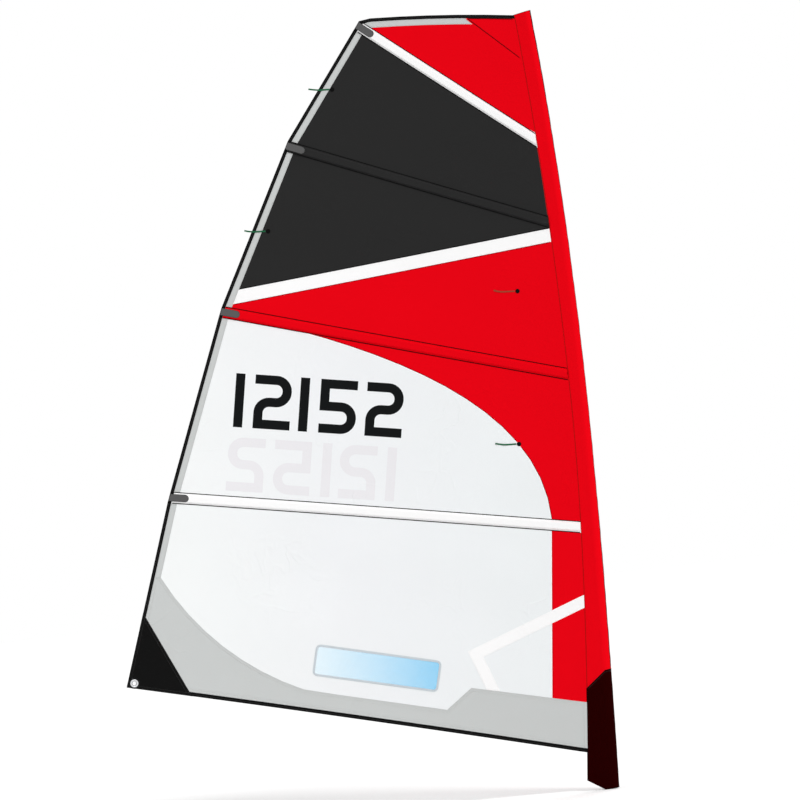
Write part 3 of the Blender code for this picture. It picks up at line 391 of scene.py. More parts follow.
@dataclass(frozen=True)
class ClothFinish(Finish):
    """Woven and resin-finished sailcloth of one colour, or of tones along the sail: painted shade
    across the belly.
    """

    colour: Colour
    roughness: float = 0.55
    specular: float = 0.25
    threads: float = 1100.0
    weave_depth: float = 0.00012
    crease_size: float = 0.16
    crease_depth: float = 0.0009
    crease_wear: float = 0.12
    soiling: float = 0.04
    # How strongly the weave's shade and light are painted into the colour.
    weave_shade_share: float = 0.05
    tones: tuple[tuple[float, Colour], ...] = ()

    def paint(self, write: NodeWriter, place: object) -> dict[str, object]:
        """Weave over creases, with worn creases, and painted shade and light on the threads.

        Args:
            write: The writer of the material's tree.
            place: The object coordinates.
        Returns:
            What the shader's inputs take, by name.
        """
        weave = WEAVE.on(write, place, self.threads)["Height"]
        crinkle = CRINKLE.on(write, place, self.crease_size)
        plain = linear(self.colour)
        # Painted shade: the tones grade the colour along the sail as the belly's shading would.
        if self.tones:
            plain = write.graded(write.axis(place, "X"), self.tones)
        # Painted shade and light of the weave: darker between the threads, lighter on their
        # crossings.
        painted_weave_shade = write.math("MULTIPLY_ADD", weave, self.weave_shade_share, 1 - self.weave_shade_share / 2)
        creases = write.bump(crinkle["Height"], self.crease_depth)
        return {"Base Color": soiled_and_shaded(write, place, plain, self.soiling, painted_weave_shade),
                "Roughness": write.math("MULTIPLY_ADD", crinkle["Mask"], self.crease_wear,
                                        self.roughness),
                "Specular IOR Level": self.specular,
                "Normal": write.bump(weave, self.weave_depth, Normal=creases)}


@dataclass(frozen=True)
class FilmFinish(Finish):
    """Clear window film with a cold tint that deepens towards the luff."""

    pale: Colour
    deep: Colour
    span: tuple[float, float]
    cover: tuple[float, float]
    roughness: float = 0.1
    crease_size: float = 0.09
    crease_wear: float = 0.12
    crease_cover: float = 0.02
    crease_depth: float = 0.0003

    def paint(self, write: NodeWriter, place: object) -> dict[str, object]:
        """The tint, the cover and the creases.

        Args:
            write: The writer of the material's tree.
            place: The object coordinates.
        Returns:
            What the shader's inputs take, by name.
        """
        along = write.axis(place, "X")
        crinkle = CRINKLE.on(write, place, self.crease_size)
        thin, thick = self.cover
        cover = write.math("MULTIPLY_ADD", write.between(along, *self.span), thick - thin, thin)
        mask = crinkle["Mask"]
        return {"Base Color": write.graded(along, tuple(zip(self.span, (self.pale, self.deep)))),
                "Roughness": write.math("MULTIPLY_ADD", mask, self.crease_wear, self.roughness),
                "Alpha": write.math("MULTIPLY_ADD", mask, self.crease_cover, cover),
                "Normal": write.bump(crinkle["Height"], self.crease_depth)}


@dataclass(frozen=True)
class MouldedFinish(Finish):
    """Moulded plastic with a fine spark-eroded grain and rubbed highs."""

    colour: Colour
    roughness: float = 0.45
    grain: float = 900.0
    grain_depth: float = 0.0001
    rubbing: float = 0.2
    soiling: float = 0.12
    specular: float = 0.35

    def paint(self, write: NodeWriter, place: object) -> dict[str, object]:
        """The grain and its soiling.

        Args:
            write: The writer of the material's tree.
            place: The object coordinates.
        Returns:
            What the shader's inputs take, by name.
        """
        grain = write.noise(place, self.grain)
        smoothest = self.roughness - self.rubbing / 2
        return {"Base Color": soiled_and_shaded(write, place, linear(self.colour), self.soiling),
                "Roughness": write.math("MULTIPLY_ADD", grain, self.rubbing, smoothest),
                "Specular IOR Level": self.specular,
                "Normal": write.bump(grain, self.grain_depth)}


@dataclass(frozen=True)
class SteelFinish(Finish):
    """Polished stainless steel with faint turning marks."""

    colour: Colour = (205, 206, 208)
    worn: Colour = (170, 171, 174)
    roughness: float = 0.28
    marks: float = 420.0
    mark_depth: float = 0.00005
    wear: float = 0.15

    def paint(self, write: NodeWriter, place: object) -> dict[str, object]:
        """The marks.

        Args:
            write: The writer of the material's tree.
            place: The object coordinates.
        Returns:
            What the shader's inputs take, by name.
        """
        marks = write.noise(place, self.marks, Detail=4.0)
        return {"Base Color": write.mixed(marks, linear(self.colour), linear(self.worn)),
                "Metallic": 1.0,
                "Roughness": write.math("MULTIPLY_ADD", marks, self.wear, self.roughness),
                "Normal": write.bump(marks, self.mark_depth)}


@dataclass(frozen=True)
class FibreFinish(Finish):
    """Drawn glass fibre: pale resin with fine strands along the batten."""

    colour: Colour = (205, 196, 150)
    strand: Colour = (225, 219, 186)
    drawn: tuple[float, float, float] = (6.0, 6.0, 900.0)
    roughness: float = 0.25
    wear: float = 0.2
    strand_depth: float = 0.00008

    def paint(self, write: NodeWriter, place: object) -> dict[str, object]:
        """The strands.

        Args:
            write: The writer of the material's tree.
            place: The object coordinates.
        Returns:
            What the shader's inputs take, by name.
        """
        drawn = write.add("ShaderNodeMapping", {"Vector": place, "Scale": self.drawn})
        strands = write.noise(drawn.outputs["Vector"], 1.0, Detail=3.0)
        return {"Base Color": write.mixed(strands, linear(self.colour), linear(self.strand)),
                "Roughness": write.math("MULTIPLY_ADD", strands, self.wear, self.roughness),
                "Normal": write.bump(strands, self.strand_depth)}


@dataclass(frozen=True)
class EyeletFinish(Finish):
    """Pressed and plated metal whose tone changes in rings round the eyelet's axis."""

    centre: tuple[float, float, float]
    turn: tuple[float, float, float]
    rings: tuple[tuple[float, Colour], ...]
    roughness: float = 0.3
    wear: float = 0.05
    metal: float = 0.35
    soiling: float = 0.3
    mark_pitch: float = 0.0004
    mark_depth: float = 0.00002

    def paint(self, write: NodeWriter, place: object) -> dict[str, object]:
        """The rings and the turning marks.

        Args:
            write: The writer of the material's tree.
            place: The object coordinates.
        Returns:
            What the shader's inputs take, by name.
        """
        inputs = {"Vector": place, "Location": self.centre, "Rotation": self.turn}
        centred = write.add("ShaderNodeMapping", inputs, vector_type="TEXTURE")
        parts = write.add("ShaderNodeSeparateXYZ", {"Vector": centred.outputs["Vector"]}).outputs
        across = write.math("MULTIPLY", parts["X"], parts["X"])
        radius = write.math("SQRT", write.math("MULTIPLY_ADD", parts["Y"], parts["Y"], across))
        turns = write.math("MULTIPLY", radius, 2 * math.pi / self.mark_pitch)
        marks = write.math("SINE", turns)
        rings = write.graded(radius, self.rings)
        return {"Base Color": soiled_and_shaded(write, place, rings, self.soiling),
                "Metallic": self.metal,
                "Roughness": write.math("MULTIPLY_ADD", marks, self.wear, self.roughness),
                "Normal": write.bump(marks, self.mark_depth)}


def thread(name: str, slot: Slot, colour: Colour, specular: float = 0.25) -> ClothFinish:
    """Sewing thread of one colour."""
    return ClothFinish(name, slot, colour, threads=2500.0, specular=specular)


def thin_tape(name: str, slot: Slot, colour: Colour, specular: float = 0.03) -> ClothFinish:
    """Thin tape of one colour."""
    return ClothFinish(name, slot, colour, threads=1500.0, specular=specular)


def ribbon(name: str, colour: Colour) -> ClothFinish:
    """Light ribbon of one colour."""
    return ClothFinish(name, Slot.RIBBON, colour, roughness=0.5, specular=0.1, threads=2600.0)


# Painted shade: the white cloth is lighter towards the leech and darker towards the luff, as the
# belly's shading would make it.
WHITE_SHADE_TONES = ((-1.95, (248, 251, 250)), (-1.0, (244, 246, 248)), (-0.15, (242, 246, 247)))
RED_CLOTH = ClothFinish("red_sailcloth", Slot.RED, (235, 2, 19), specular=0.02)
# Painted light: the sleeve's red is a little lighter than the panels' red, to make up for its flank
# turning away from the key lamp.
SLEEVE_CLOTH = ClothFinish("red_sleeve_cloth", Slot.RED, (240, 2, 19), specular=0.02,
                           threads=900.0, crease_size=0.09, crease_depth=0.0007)
DARK_CLOTH = ClothFinish("dark_sailcloth", Slot.DARK, (40, 40, 40), specular=0.05)
WHITE_CLOTH = ClothFinish("white_sailcloth", Slot.WHITE, (243, 245, 247), tones=WHITE_SHADE_TONES)
INSERT_CLOTH = ClothFinish("white_insert_cloth", Slot.INSERT, (255, 255, 255), soiling=0.02)
GREY_CLOTH = ClothFinish("grey_patch_cloth", Slot.GREY, (201, 204, 203), roughness=0.62,
                         threads=800.0)
BLACK_PATCH = ClothFinish("black_patch_cloth", Slot.BINDING, (15, 15, 15), specular=0.04,
                          threads=800.0)
BINDING = ClothFinish("black_binding_tape", Slot.BINDING, (12, 12, 12), specular=0.05,
                      threads=700.0, weave_depth=0.0002)
BOOT_CLOTH = ClothFinish("dark_boot_cloth", Slot.BOOT, (36, 0, 0), roughness=0.7, specular=0.01,
                         threads=600.0, weave_depth=0.0003, soiling=0.15)
WINDOW_TAPE = ClothFinish("window_seam_tape", Slot.WINDOW_SEAM, (208, 216, 221), roughness=0.4)
WINDOW_FILM = FilmFinish("clear_film", Slot.FILM, (215, 241, 253), (126, 215, 253),
                         (-1.19, -0.66), (0.35, 0.64))
NUMBER_FILM = ClothFinish("black_number_cloth", Slot.BINDING, (20, 22, 23), specular=0.03,
                          crease_depth=0.0005)
# Painted shade: a grey-white sheet where the number on the other face shows through the cloth.
SHOW_THROUGH_SHADE = ClothFinish("show_through_tone", Slot.WHITE, (238, 237, 240))
DARK_THREAD = thread("dark_thread", Slot.BINDING, (10, 10, 10), 0.03)
GREY_THREAD = thread("grey_thread", Slot.BINDING, (62, 62, 62), 0.05)
PALE_THREAD = thread("pale_thread", Slot.GREY, (216, 217, 216))
WHITE_THREAD = thread("white_thread", Slot.INSERT, (255, 255, 255))
WINDOW_THREAD = thread("window_thread", Slot.WINDOW_SEAM, (222, 228, 232))
DARK_RED_THREAD = thread("dark_red_thread", Slot.RED, (150, 6, 14), 0.03)
SLEEVE_THREAD = thread("sleeve_thread", Slot.RED, (190, 22, 20), 0.03)
SEAM_TAPE = thin_tape("seam_tape", Slot.RED, (164, 20, 18))
DARK_RED_TAPE = thin_tape("dark_red_tape", Slot.RED, (84, 4, 8))
WHITE_TAPE = thin_tape("white_seam_edge", Slot.INSERT, (255, 255, 255), 0.25)
RIBBON = ribbon("green_ribbon", (30, 96, 62))
RUSSET_RIBBON = ribbon("russet_ribbon", (160, 62, 42))
STICKER = MouldedFinish("sticker_film", Slot.STICKER, (9, 9, 9), roughness=0.6, grain=1500.0,
                        specular=0.05)
BOX_PLASTIC = MouldedFinish("box_plastic", Slot.MOULDED, (88, 88, 88), specular=0.15)
BOX_LIP = MouldedFinish("box_lip_plastic", Slot.MOULDED, (44, 44, 44), specular=0.15)
TIP_PLASTIC = MouldedFinish("tip_plastic", Slot.MOULDED, (60, 61, 62), roughness=0.5)
PUSHER_PLASTIC = MouldedFinish("pusher_plastic", Slot.PUSHER, (26, 26, 27), roughness=0.4)
STEEL = SteelFinish("stainless_steel", Slot.STEEL)
FIBRE = FibreFinish("glass_fibre", Slot.GLASS_FIBRE)


# Modelling helpers


def select_only(*pieces: MESH) -> None:
    """Selects some objects and no others, with the first one active.

    Args:
        pieces: The objects.
    """
    bpy.ops.object.select_all(action="DESELECT")
    for piece in pieces:
        piece.select_set(True)
    bpy.context.view_layer.objects.active = pieces[0]


@contextmanager
def editing(piece: MESH) -> Iterator[None]:
    """Edit mode on one piece alone, with all of it selected.

    Args:
        piece: The piece to edit.
    Yields:
        Nothing, for as long as the mode lasts.
    """
    select_only(piece)
    bpy.ops.object.mode_set(mode="EDIT")
    bpy.ops.mesh.select_all(action="SELECT")
    yield
    bpy.ops.object.mode_set(mode="OBJECT")


def apply_modifier(piece: MESH, kind: str, **settings: object) -> None:
    """Adds a modifier to a piece and applies it.

    Args:
        piece: The piece.
        kind: The modifier's type name.
        settings: Its properties by name.
    """
    select_only(piece)
    modifier = piece.modifiers.new(kind.lower(), kind)
    for name, value in settings.items():
        setattr(modifier, name, value)
    bpy.ops.object.modifier_apply(modifier=modifier.name)


def smooth(piece: MESH, degrees: float = 35.0) -> None:
    """Shades a piece smooth, with edges sharper than an angle in degrees kept."""
    select_only(piece)
    bpy.ops.object.shade_smooth_by_angle(angle=math.radians(degrees))


def paint_over(piece: MESH, finish: Finish) -> None:
    """Gives a piece its only material.

    Args:
        piece: The piece.
        finish: Its finish.
    """
    piece.data.materials.clear()
    piece.data.materials.append(finish.material())


def dress(piece: MESH, finish: Finish, body: str = ROOT_BODY, nodes: Sequence[str] = ()) -> None:
    """Gives a new piece its finish and its body, and hides the frame's nodes that it replaces.

    Args:
        piece: The piece.
        finish: Its finish.
        body: The body that it rides on.
        nodes: The frame's nodes that it replaces.
    """
    paint_over(piece, finish)
    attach(piece, body)
    if nodes:
        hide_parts(*nodes)
    LOG.info("%s: %s faces in %s", piece.name, len(piece.data.polygons), finish.name)


def repaint(node: str, finish: Finish) -> None:
    """Gives a node that stays in view a better material."""
    paint_over(frame["nodes"][node], finish)
    LOG.info("%s keeps its solid in %s", node, finish.name)


def merged_copy(node: str, name: str) -> MESH:
    """A copy of a node with its loose triangles merged.

    Args:
        node: The node's name.
        name: The new piece's name.
    Returns:
        The copy.
    """
    mesh = frame["nodes"][node].data.copy()
    mesh.name = name
    piece = bpy.data.objects.new(name, mesh)
    bpy.context.scene.collection.objects.link(piece)
    with editing(piece):
        bpy.ops.mesh.customdata_custom_splitnormals_clear()
        bpy.ops.mesh.remove_doubles(threshold=2e-6)
    return piece


def mapped_grid(name: str, columns: int, rows: int, place: Placing) -> MESH:
    """A grid whose points are moved to where a function puts them.

    Args:
        name: The new piece's name.
        columns: Faces along the first share.
        rows: Faces along the second share.
        place: Gives a point for two shares from 0 to 1.
    Returns:
        The piece.
    """
    bpy.ops.object.select_all(action="DESELECT")
    bpy.ops.mesh.primitive_grid_add(x_subdivisions=columns, y_subdivisions=rows, size=1)
    piece = bpy.context.object
    piece.name = piece.data.name = name
    for vert in piece.data.vertices:
        vert.co = place(vert.co.x + 0.5, vert.co.y + 0.5)
    return piece


def closed_up(piece: MESH, distance: float = 1e-6) -> None:
    """Merges a piece's doubled points and turns its faces outwards.

    Args:
        piece: The piece.
        distance: How close such points are.
    """
    with editing(piece):
        bpy.ops.mesh.remove_doubles(threshold=distance)
        bpy.ops.mesh.normals_make_consistent(inside=False)


def ring(name: str, columns: int, rows: int, place: Placing, degrees: float, finish: Finish,
         nodes: Sequence[str] = ()) -> None:
    """A grid that closes on itself both ways, as a finished piece.

    Args:
        name: The new piece's name.
        columns: Faces along the first share.
        rows: Faces along the second share.
        place: Gives a point for two shares from 0 to 1.
        degrees: The angle up to which edges are shaded smooth.
        finish: Its finish.
        nodes: The frame's nodes that it replaces.
    """
    piece = mapped_grid(name, columns, rows, place)
    closed_up(piece)
    smooth(piece, degrees)
    dress(piece, finish, nodes=nodes)


def joined(name: str, pieces: Sequence[MESH]) -> MESH:
    """Several meshes as one piece.

    Args:
        name: The joined piece's name.
        pieces: What is joined.
    Returns:
        The piece.
    """
    select_only(*pieces)
    if len(pieces) > 1:
        bpy.ops.object.join()
    pieces[0].name = pieces[0].data.name = name
    return pieces[0]


def smoothstep(value: float, low: float, high: float) -> float:
    """A soft step from 0 at low to 1 at high."""
    share = min(1.0, max(0.0, (value - low) / (high - low)))
    return share * share * (3 - 2 * share)


def joint(name: str) -> dict:
    """The frame's entry for a joint."""
    return next(entry for entry in frame["joints"] if entry["name"] == name)


# The sail's lie


@dataclass(frozen=True)
class LuffLine:
    """The sleeve's run along the luff: its leading edge, its nose and its trailing seam."""

    length: float = 3.247
    bow: float = 0.053
    bow_skew: float = 0.45
    nose_foot: float = 0.0255
    nose_head: float = 0.018
    depth_foot: float = 0.132
    depth_head: float = 0.072
    taper_height: float = 1.6
    taper_power: float = 1.6

    def forward(self, height: float) -> float:
        """How far the leading edge stands forward of its chord."""
        share = min(1.0, max(0.0, height / self.length))
        return 4 * self.bow * share * (1 - share) * (1 + self.bow_skew * (share - 0.5))

    def nose_radius(self, height: float) -> float:
        """Radius of the round leading edge."""
        return self.nose_foot + (self.nose_head - self.nose_foot) * height / self.length

    def nose_x(self, height: float) -> float:
        """The x of the nose's centre."""
        return self.nose_foot + self.forward(height) - self.nose_radius(height)

    def seam_x(self, height: float) -> float:
        """Where the trailing seam runs.

        Args:
            height: The height up the luff.
        Returns:
            The seam's x there.
        """
        taper = max(0.0, 1 - height / self.taper_height) ** self.taper_power
        depth = self.depth_head + (self.depth_foot - self.depth_head) * taper
        return self.nose_foot + self.forward(height) - depth


LUFF = LuffLine()


@dataclass(frozen=True)
class PocketBand:
    """The band of cloth that a batten pocket covers, which the batten holds fair."""

    up: Point
    low: float
    high: float
    aft: float
    fore: float

    def corner(self, along: float, across: float) -> Vector:
        """The point (x, z) at a place along the pocket and up across it."""
        x, z = self.up
        return Vector((along * z + across * x, across * z - along * x))

    def beyond(self, x: float, z: float) -> float:
        """How far a point lies above or below the band."""
        across = x * self.up[0] + z * self.up[1]
        return max(self.low - across, across - self.high, 0.0)


def pocket_band(number: int) -> PocketBand:
    """Measures a pocket's band, across which its batten's joint axis points up.

    Args:
        number: The pocket's number.
    Returns:
        The band.
    """
    axis = joint(f"batten_{number}_withdrawal")["axis"]
    up = (axis[0], axis[2])
    vertices = frame["nodes"][f"batten_pocket_{number}"].data.vertices
    spots = [(vert.co.x, vert.co.z) for vert in vertices]
    across = [x * up[0] + z * up[1] for x, z in spots]
    low, high = min(across), max(across)
    edge = [x * up[1] - z * up[0] for (x, z), level in zip(spots, across)
            if min(level - low, high - level) < 1e-4]
    return PocketBand(up, low, high, min(edge), max(edge))


POCKETS = {number: pocket_band(number) for number in (1, 2, 3, 4)}
QUIET_BOXES = [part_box(f"tension_box_{number}") for number in POCKETS] + [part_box("clew_eyelet")]


@dataclass(frozen=True)
class SailLie:
    """Where the sail's cloth lies, and how flat cloth is brought there.

    The waves are worked out at the corners of one shared grid and run evenly between them, so that
    every layer has the same lie.
    """

    chord: float = 1.96
    depth: float = 0.10
    grid: float = 0.02
    swell: float = 0.0018
    swell_length: float = 0.46
    swell_slant: float = 0.35
    beat_share: float = 0.35
    beat_way: Point = (0.6, -0.3)
    beat_phase: float = 1.1
    tension: float = 0.0011
    tension_start: float = 0.2
    tension_reach: float = 0.42
    tension_rays: int = 13
    clew: Point = (-1.964, 0.637)
    pucker: float = 0.0006
    pucker_length: float = 0.13
    pucker_wander: Point = (2.5, 4.7)
    pucker_start: float = 0.035
    pucker_reach: float = 0.07
    seam_fade: float = 0.14
    batten_fade: float = 0.13
    batten_margin: float = 0.004
    quiet_margin: float = 0.03
    quiet_fade: float = 0.15
    snap: float = 3e-5
    facet_sag: float = 0.0006
    corners: dict[tuple[int, int], float] = field(default_factory=dict, hash=False, compare=False)

    def belly(self, x: float) -> float:
        """Sideways place of the smooth cloth at x, on the round belly."""
        radius = ((self.chord / 2) ** 2 + self.depth**2) / (2 * self.depth)
        return math.sqrt(radius**2 - (x + self.chord / 2) ** 2) - (radius - self.depth)

    def stillness(self, x: float, z: float) -> float:
        """How free the cloth is to move.

        Args:
            x: The place forward.
            z: The place up.
        Returns:
            A share from 0 at the battens, boxes and eyelet to 1 away from them.
        """
        free = 1.0
        for band in POCKETS.values():
            free *= smoothstep(band.beyond(x, z), self.batten_margin, self.batten_fade)
        for low, high in QUIET_BOXES:
            aside = max(low.x - x, x - high.x, 0.0)
            above = max(low.z - z, z - high.z, 0.0)
            free *= smoothstep(math.hypot(aside, above), self.quiet_margin, self.quiet_fade)
        return free

    def ripple(self, x: float, z: float) -> float:
        """Small sideways waves: the cloth's swell, the clew's pull and the luff seam's puckers.

        Args:
            x: The place forward.
            z: The place up.
        Returns:
            How far they move the cloth to port.
        """
        turn = 2 * math.pi / self.swell_length
        beat = math.cos(turn * (self.beat_way[0] * x + self.beat_way[1] * z) + self.beat_phase)
        swell = math.sin(turn * (self.swell_slant * x + z))
        swell *= 1 - self.beat_share + self.beat_share * beat
        dx, dz = x - self.clew[0], z - self.clew[1]
        reach = math.hypot(dx, dz)
        rays = math.sin(self.tension_rays * math.atan2(dz, dx))
        rays *= min(1.0, reach / self.tension_start)
        pull = rays * math.exp(-reach / self.tension_reach)
        aft = max(0.0, LUFF.seam_x(z) - x)
        wander, often = self.pucker_wander
        gathers = math.sin(2 * math.pi * z / self.pucker_length + wander * math.sin(often * z))
        gathers *= math.exp(-aft / self.pucker_reach) * smoothstep(aft, 0.0, self.pucker_start)
        broad = (self.swell * swell + self.tension * pull) * smoothstep(aft, 0.0, self.seam_fade)
        return (broad + self.pucker * gathers) * self.stillness(x, z)

    def corner(self, column: int, row: int) -> float:
        """The waves at a corner of the shared grid, worked out once.

        Args:
            column: The corner's column.
            row: Its row.
        Returns:
            How far the waves move the cloth to port.
        """
        if (column, row) not in self.corners:
            x, z = column * self.grid, row * self.grid
            self.corners[column, row] = self.ripple(x, z)
        return self.corners[column, row]

    def shift(self, x: float, z: float) -> float:
        """The waves at any point, even between the grid's corners.

        Args:
            x: The place forward.
            z: The place up.
        Returns:
            How far they move the cloth to port.
        """
        column, row = math.floor(x / self.grid), math.floor(z / self.grid)
        right, above = x / self.grid - column, z / self.grid - row
        low = self.corner(column, row) * (1 - right) + self.corner(column + 1, row) * right
        high = self.corner(column, row + 1) * (1 - right) + self.corner(column + 1, row + 1) * right
        return low * (1 - above) + high * above

    def side(self, x: float, z: float) -> float:
        """Where the cloth lies sideways, with the belly straight between the grid's lines.

        Args:
            x: The place forward.
            z: The place up.
        Returns:
            The y of the cloth's middle.
        """
        column = math.floor(x / self.grid)
        right = x / self.grid - column
        first, last = self.belly(column * self.grid), self.belly((column + 1) * self.grid)
        return first * (1 - right) + last * right + self.shift(x, z)

    def flatten(self, piece: MESH, levels: Sequence[float]) -> None:
        """Lays a copied piece flat, each point at the level of its layer.

        Args:
            piece: The piece.
            levels: The levels of its layers, in rising order.
        """
        for vert in piece.data.vertices:
            drop = self.belly(vert.co.x) - vert.co.y + self.snap
            level = max([level for level in levels if level <= drop] or [levels[0]])
            vert.co.y = -level if drop - level < self.facet_sag else -drop
        with editing(piece):
            bpy.ops.mesh.dissolve_limited(angle_limit=math.radians(0.005))

    def divide(self, piece: MESH) -> None:
        """Cuts a flat piece along the grid that all pieces share.

        Args:
            piece: The piece.
        """
        for axis, normal in ((0, (1, 0, 0)), (2, (0, 0, 1))):
            values = [vert.co[axis] for vert in piece.data.vertices]
            first, last = math.ceil(min(values) / self.grid), math.floor(max(values) / self.grid)
            with editing(piece):
                for step in range(first, last + 1):
                    spot = [0.0, 0.0, 0.0]
                    spot[axis] = step * self.grid
                    bpy.ops.mesh.select_all(action="SELECT")
                    bpy.ops.mesh.bisect(plane_co=spot, plane_no=normal, threshold=1e-6)

    def lay(self, piece: MESH) -> None:
        """Moves a flat piece sideways onto the sail's lie.

        Args:
            piece: The piece.
        """
        for vert in piece.data.vertices:
            vert.co.y += self.side(vert.co.x, vert.co.z)
        smooth(piece)


LIE = SailLie()


@dataclass(frozen=True)
class FlatCut:
    """The size that a piece of cloth was cut to."""

    width: float
    length: float
    area: float


def flat_cut(piece: MESH, strip_width: Optional[float] = None) -> FlatCut:
    """Measures a flat piece before it is laid on the sail.

    Args:
        piece: The piece, still flat.
        strip_width: The cut width, where the piece is a long strip.
    Returns:
        Its cut size.
    """
    area = sum(polygon.area for polygon in piece.data.polygons) / 2
    if strip_width:
        return FlatCut(strip_width, area / strip_width, area)
    xs = [vert.co.x for vert in piece.data.vertices]
    zs = [vert.co.z for vert in piece.data.vertices]
    width, length = max(xs) - min(xs), max(zs) - min(zs)
    return FlatCut(width, length, min(area, width * length))


def declare_sheet(piece: MESH, cut: FlatCut) -> None:
    """Logs a cloth piece's name and cut size."""
    LOG.info("%s was cut %.3f by %.3f m, %.4f m2", piece.name, cut.width, cut.length, cut.area)


@dataclass(frozen=True)
class CutLines:
    """The outlines of one cloth piece on one face, and the level of its outermost layer there."""

    level: float
    loops: tuple[Line, ...]


def outer_outlines(piece: MESH, face: Face) -> CutLines:
    """The closed outlines of a flat piece's outermost layer on one face.

    Args:
        piece: The piece, still flat.
        face: The face.
    Returns:
        The layer's level and its outlines as (x, z), with the cloth on the left of each.
    """
    mesh = piece.data
    level = max(-vert.co.y * face.value for vert in mesh.vertices)
    walks: set[tuple[int, int]] = set()
    for polygon in mesh.polygons:
        corners = list(polygon.vertices)
        if all(abs(-mesh.vertices[i].co.y * face.value - level) < SAME_LEVEL for i in corners):
            walks.update(zip(corners, corners[1:] + corners[:1]))
    onward: dict[int, list[int]] = {}
    for start, end in walks:
        if (end, start) not in walks:
            onward.setdefault(start, []).append(end)
    loops = []
    while onward:
        start = min(onward)
        loop, at = [], start
        while at in onward:
            loop.append(at)
            ends = onward[at]
            after = ends.pop()
            if not ends:
                del onward[at]
            at = after
        line = [Vector((mesh.vertices[i].co.x, mesh.vertices[i].co.z)) for i in loop]
        loops.append(line if face is Face.STARBOARD else line[::-1])
    return CutLines(level, tuple(loops))


CUT_LINES: dict[tuple[str, Face], CutLines] = {}


@dataclass(frozen=True)
class ClothPiece:
    """One piece of cloth that takes its outline from a node."""

    node: str
    finish: Finish
    levels: tuple[float, ...]
    strip_width: Optional[float] = None
    lap: float = 0.0
    tuck: float = 0.0022
    tuck_reach: float = 0.0012

    @property
    def name(self) -> str:
        """The piece's name in the scene."""
        return f"{self.node}_cloth"

    def tuck_in(self, piece: MESH) -> None:
        """Brings a flat piece's edge at the luff in between the sleeve's two walls.

        Args:
            piece: The piece.
        """
        for vert in piece.data.vertices:
            at_seam = abs(vert.co.x - LUFF.seam_x(vert.co.z)) < self.tuck_reach
            if at_seam and abs(vert.co.y) <= LAYER_OUTER + SAME_LEVEL:
                vert.co.x += self.tuck

    def build(self, shape: Optional[Callable[[MESH], None]] = None) -> MESH:
        """Makes the piece from its node.

        Args:
            shape: What is done to the flat piece before it is cut along the grid.
        Returns:
            The piece.
        """
        piece = merged_copy(self.node, self.name)
        LIE.flatten(piece, self.levels)
        cut = flat_cut(piece, self.strip_width)
        for face in Face:
            CUT_LINES[self.node, face] = outer_outlines(piece, face)
        self.tuck_in(piece)
        if self.lap:
            grown(piece, self.lap)
        if shape:
            shape(piece)
        LIE.divide(piece)
        LIE.lay(piece)
        dress(piece, self.finish, nodes=(self.node,))
        declare_sheet(piece, cut)
        return piece


def grown(piece: MESH, lap: float) -> None:
    """Widens a flat piece all round, so that it closes the fine slit beside it.

    Args:
        piece: The piece, still flat.
        lap: How far its outline moves out.
    """
    moves = {}
    for loop in outer_outlines(piece, Face.STARBOARD).loops:
        for spot, moved in zip(loop, moved_aside(loop, -lap)):
            moves[round(spot.x, 5), round(spot.y, 5)] = moved
    for vert in piece.data.vertices:
        moved = moves.get((round(vert.co.x, 5), round(vert.co.z, 5)))
        if moved:
            vert.co.x, vert.co.z = moved


# Sub-assemblies


PANEL_LEVELS = (-CLOTH_FACE, CLOTH_FACE)
FILM_LEVELS = (-FILM_FACE, FILM_FACE)
FOLDED_LEVELS = (-LAYER_OUTER, -LAYER_INNER, LAYER_INNER, LAYER_OUTER)
NOTCHED_LEVELS = (-LAYER_OUTER, -LAYER_INNER, CLOTH_FACE, LAYER_INNER, LAYER_OUTER)
PATCH_LEVELS = (-PATCH_OUTER, -PATCH_INNER, PATCH_INNER, PATCH_OUTER)
TAPE_LEVELS = (-LAYER_OUTER, CLOTH_FACE, LAYER_OUTER)


@dataclass
class SewnLayers:
    """Pieces of cloth that are laid in order."""

    pieces: tuple[ClothPiece, ...] = ()

    def build(self) -> None:
        """Makes every piece."""
        for piece in self.pieces:
            piece.build()


@dataclass
class SailBody(SewnLayers):
    """The panels that the sail is sewn from."""

    pieces: tuple[ClothPiece, ...] = (
        ClothPiece("head_panel", RED_CLOTH, PANEL_LEVELS),
        ClothPiece("upper_panel", DARK_CLOTH, PANEL_LEVELS),
        ClothPiece("diagonal_stripe", INSERT_CLOTH, PANEL_LEVELS, strip_width=0.0545),
        ClothPiece("red_panel", RED_CLOTH, PANEL_LEVELS),
        ClothPiece("number_panel", WHITE_CLOTH, PANEL_LEVELS),
        ClothPiece("luff_strip", RED_CLOTH, PANEL_LEVELS),
        ClothPiece("lower_panel", WHITE_CLOTH, PANEL_LEVELS),
    )


@dataclass
class Window(SewnLayers):
    """The clear film and the seam that holds it."""

    pieces: tuple[ClothPiece, ...] = (
        ClothPiece("window_film", WINDOW_FILM, FILM_LEVELS),
        ClothPiece("window_seam", WINDOW_TAPE, FOLDED_LEVELS, strip_width=0.018),
    )


def binding(node: str, width: float) -> ClothPiece:
    """A tape folded over an edge, a little wider all round so that no slit shows beside it."""
    return ClothPiece(node, BINDING, TAPE_LEVELS, strip_width=width + 2 * LAYER_OUTER, lap=0.00045)


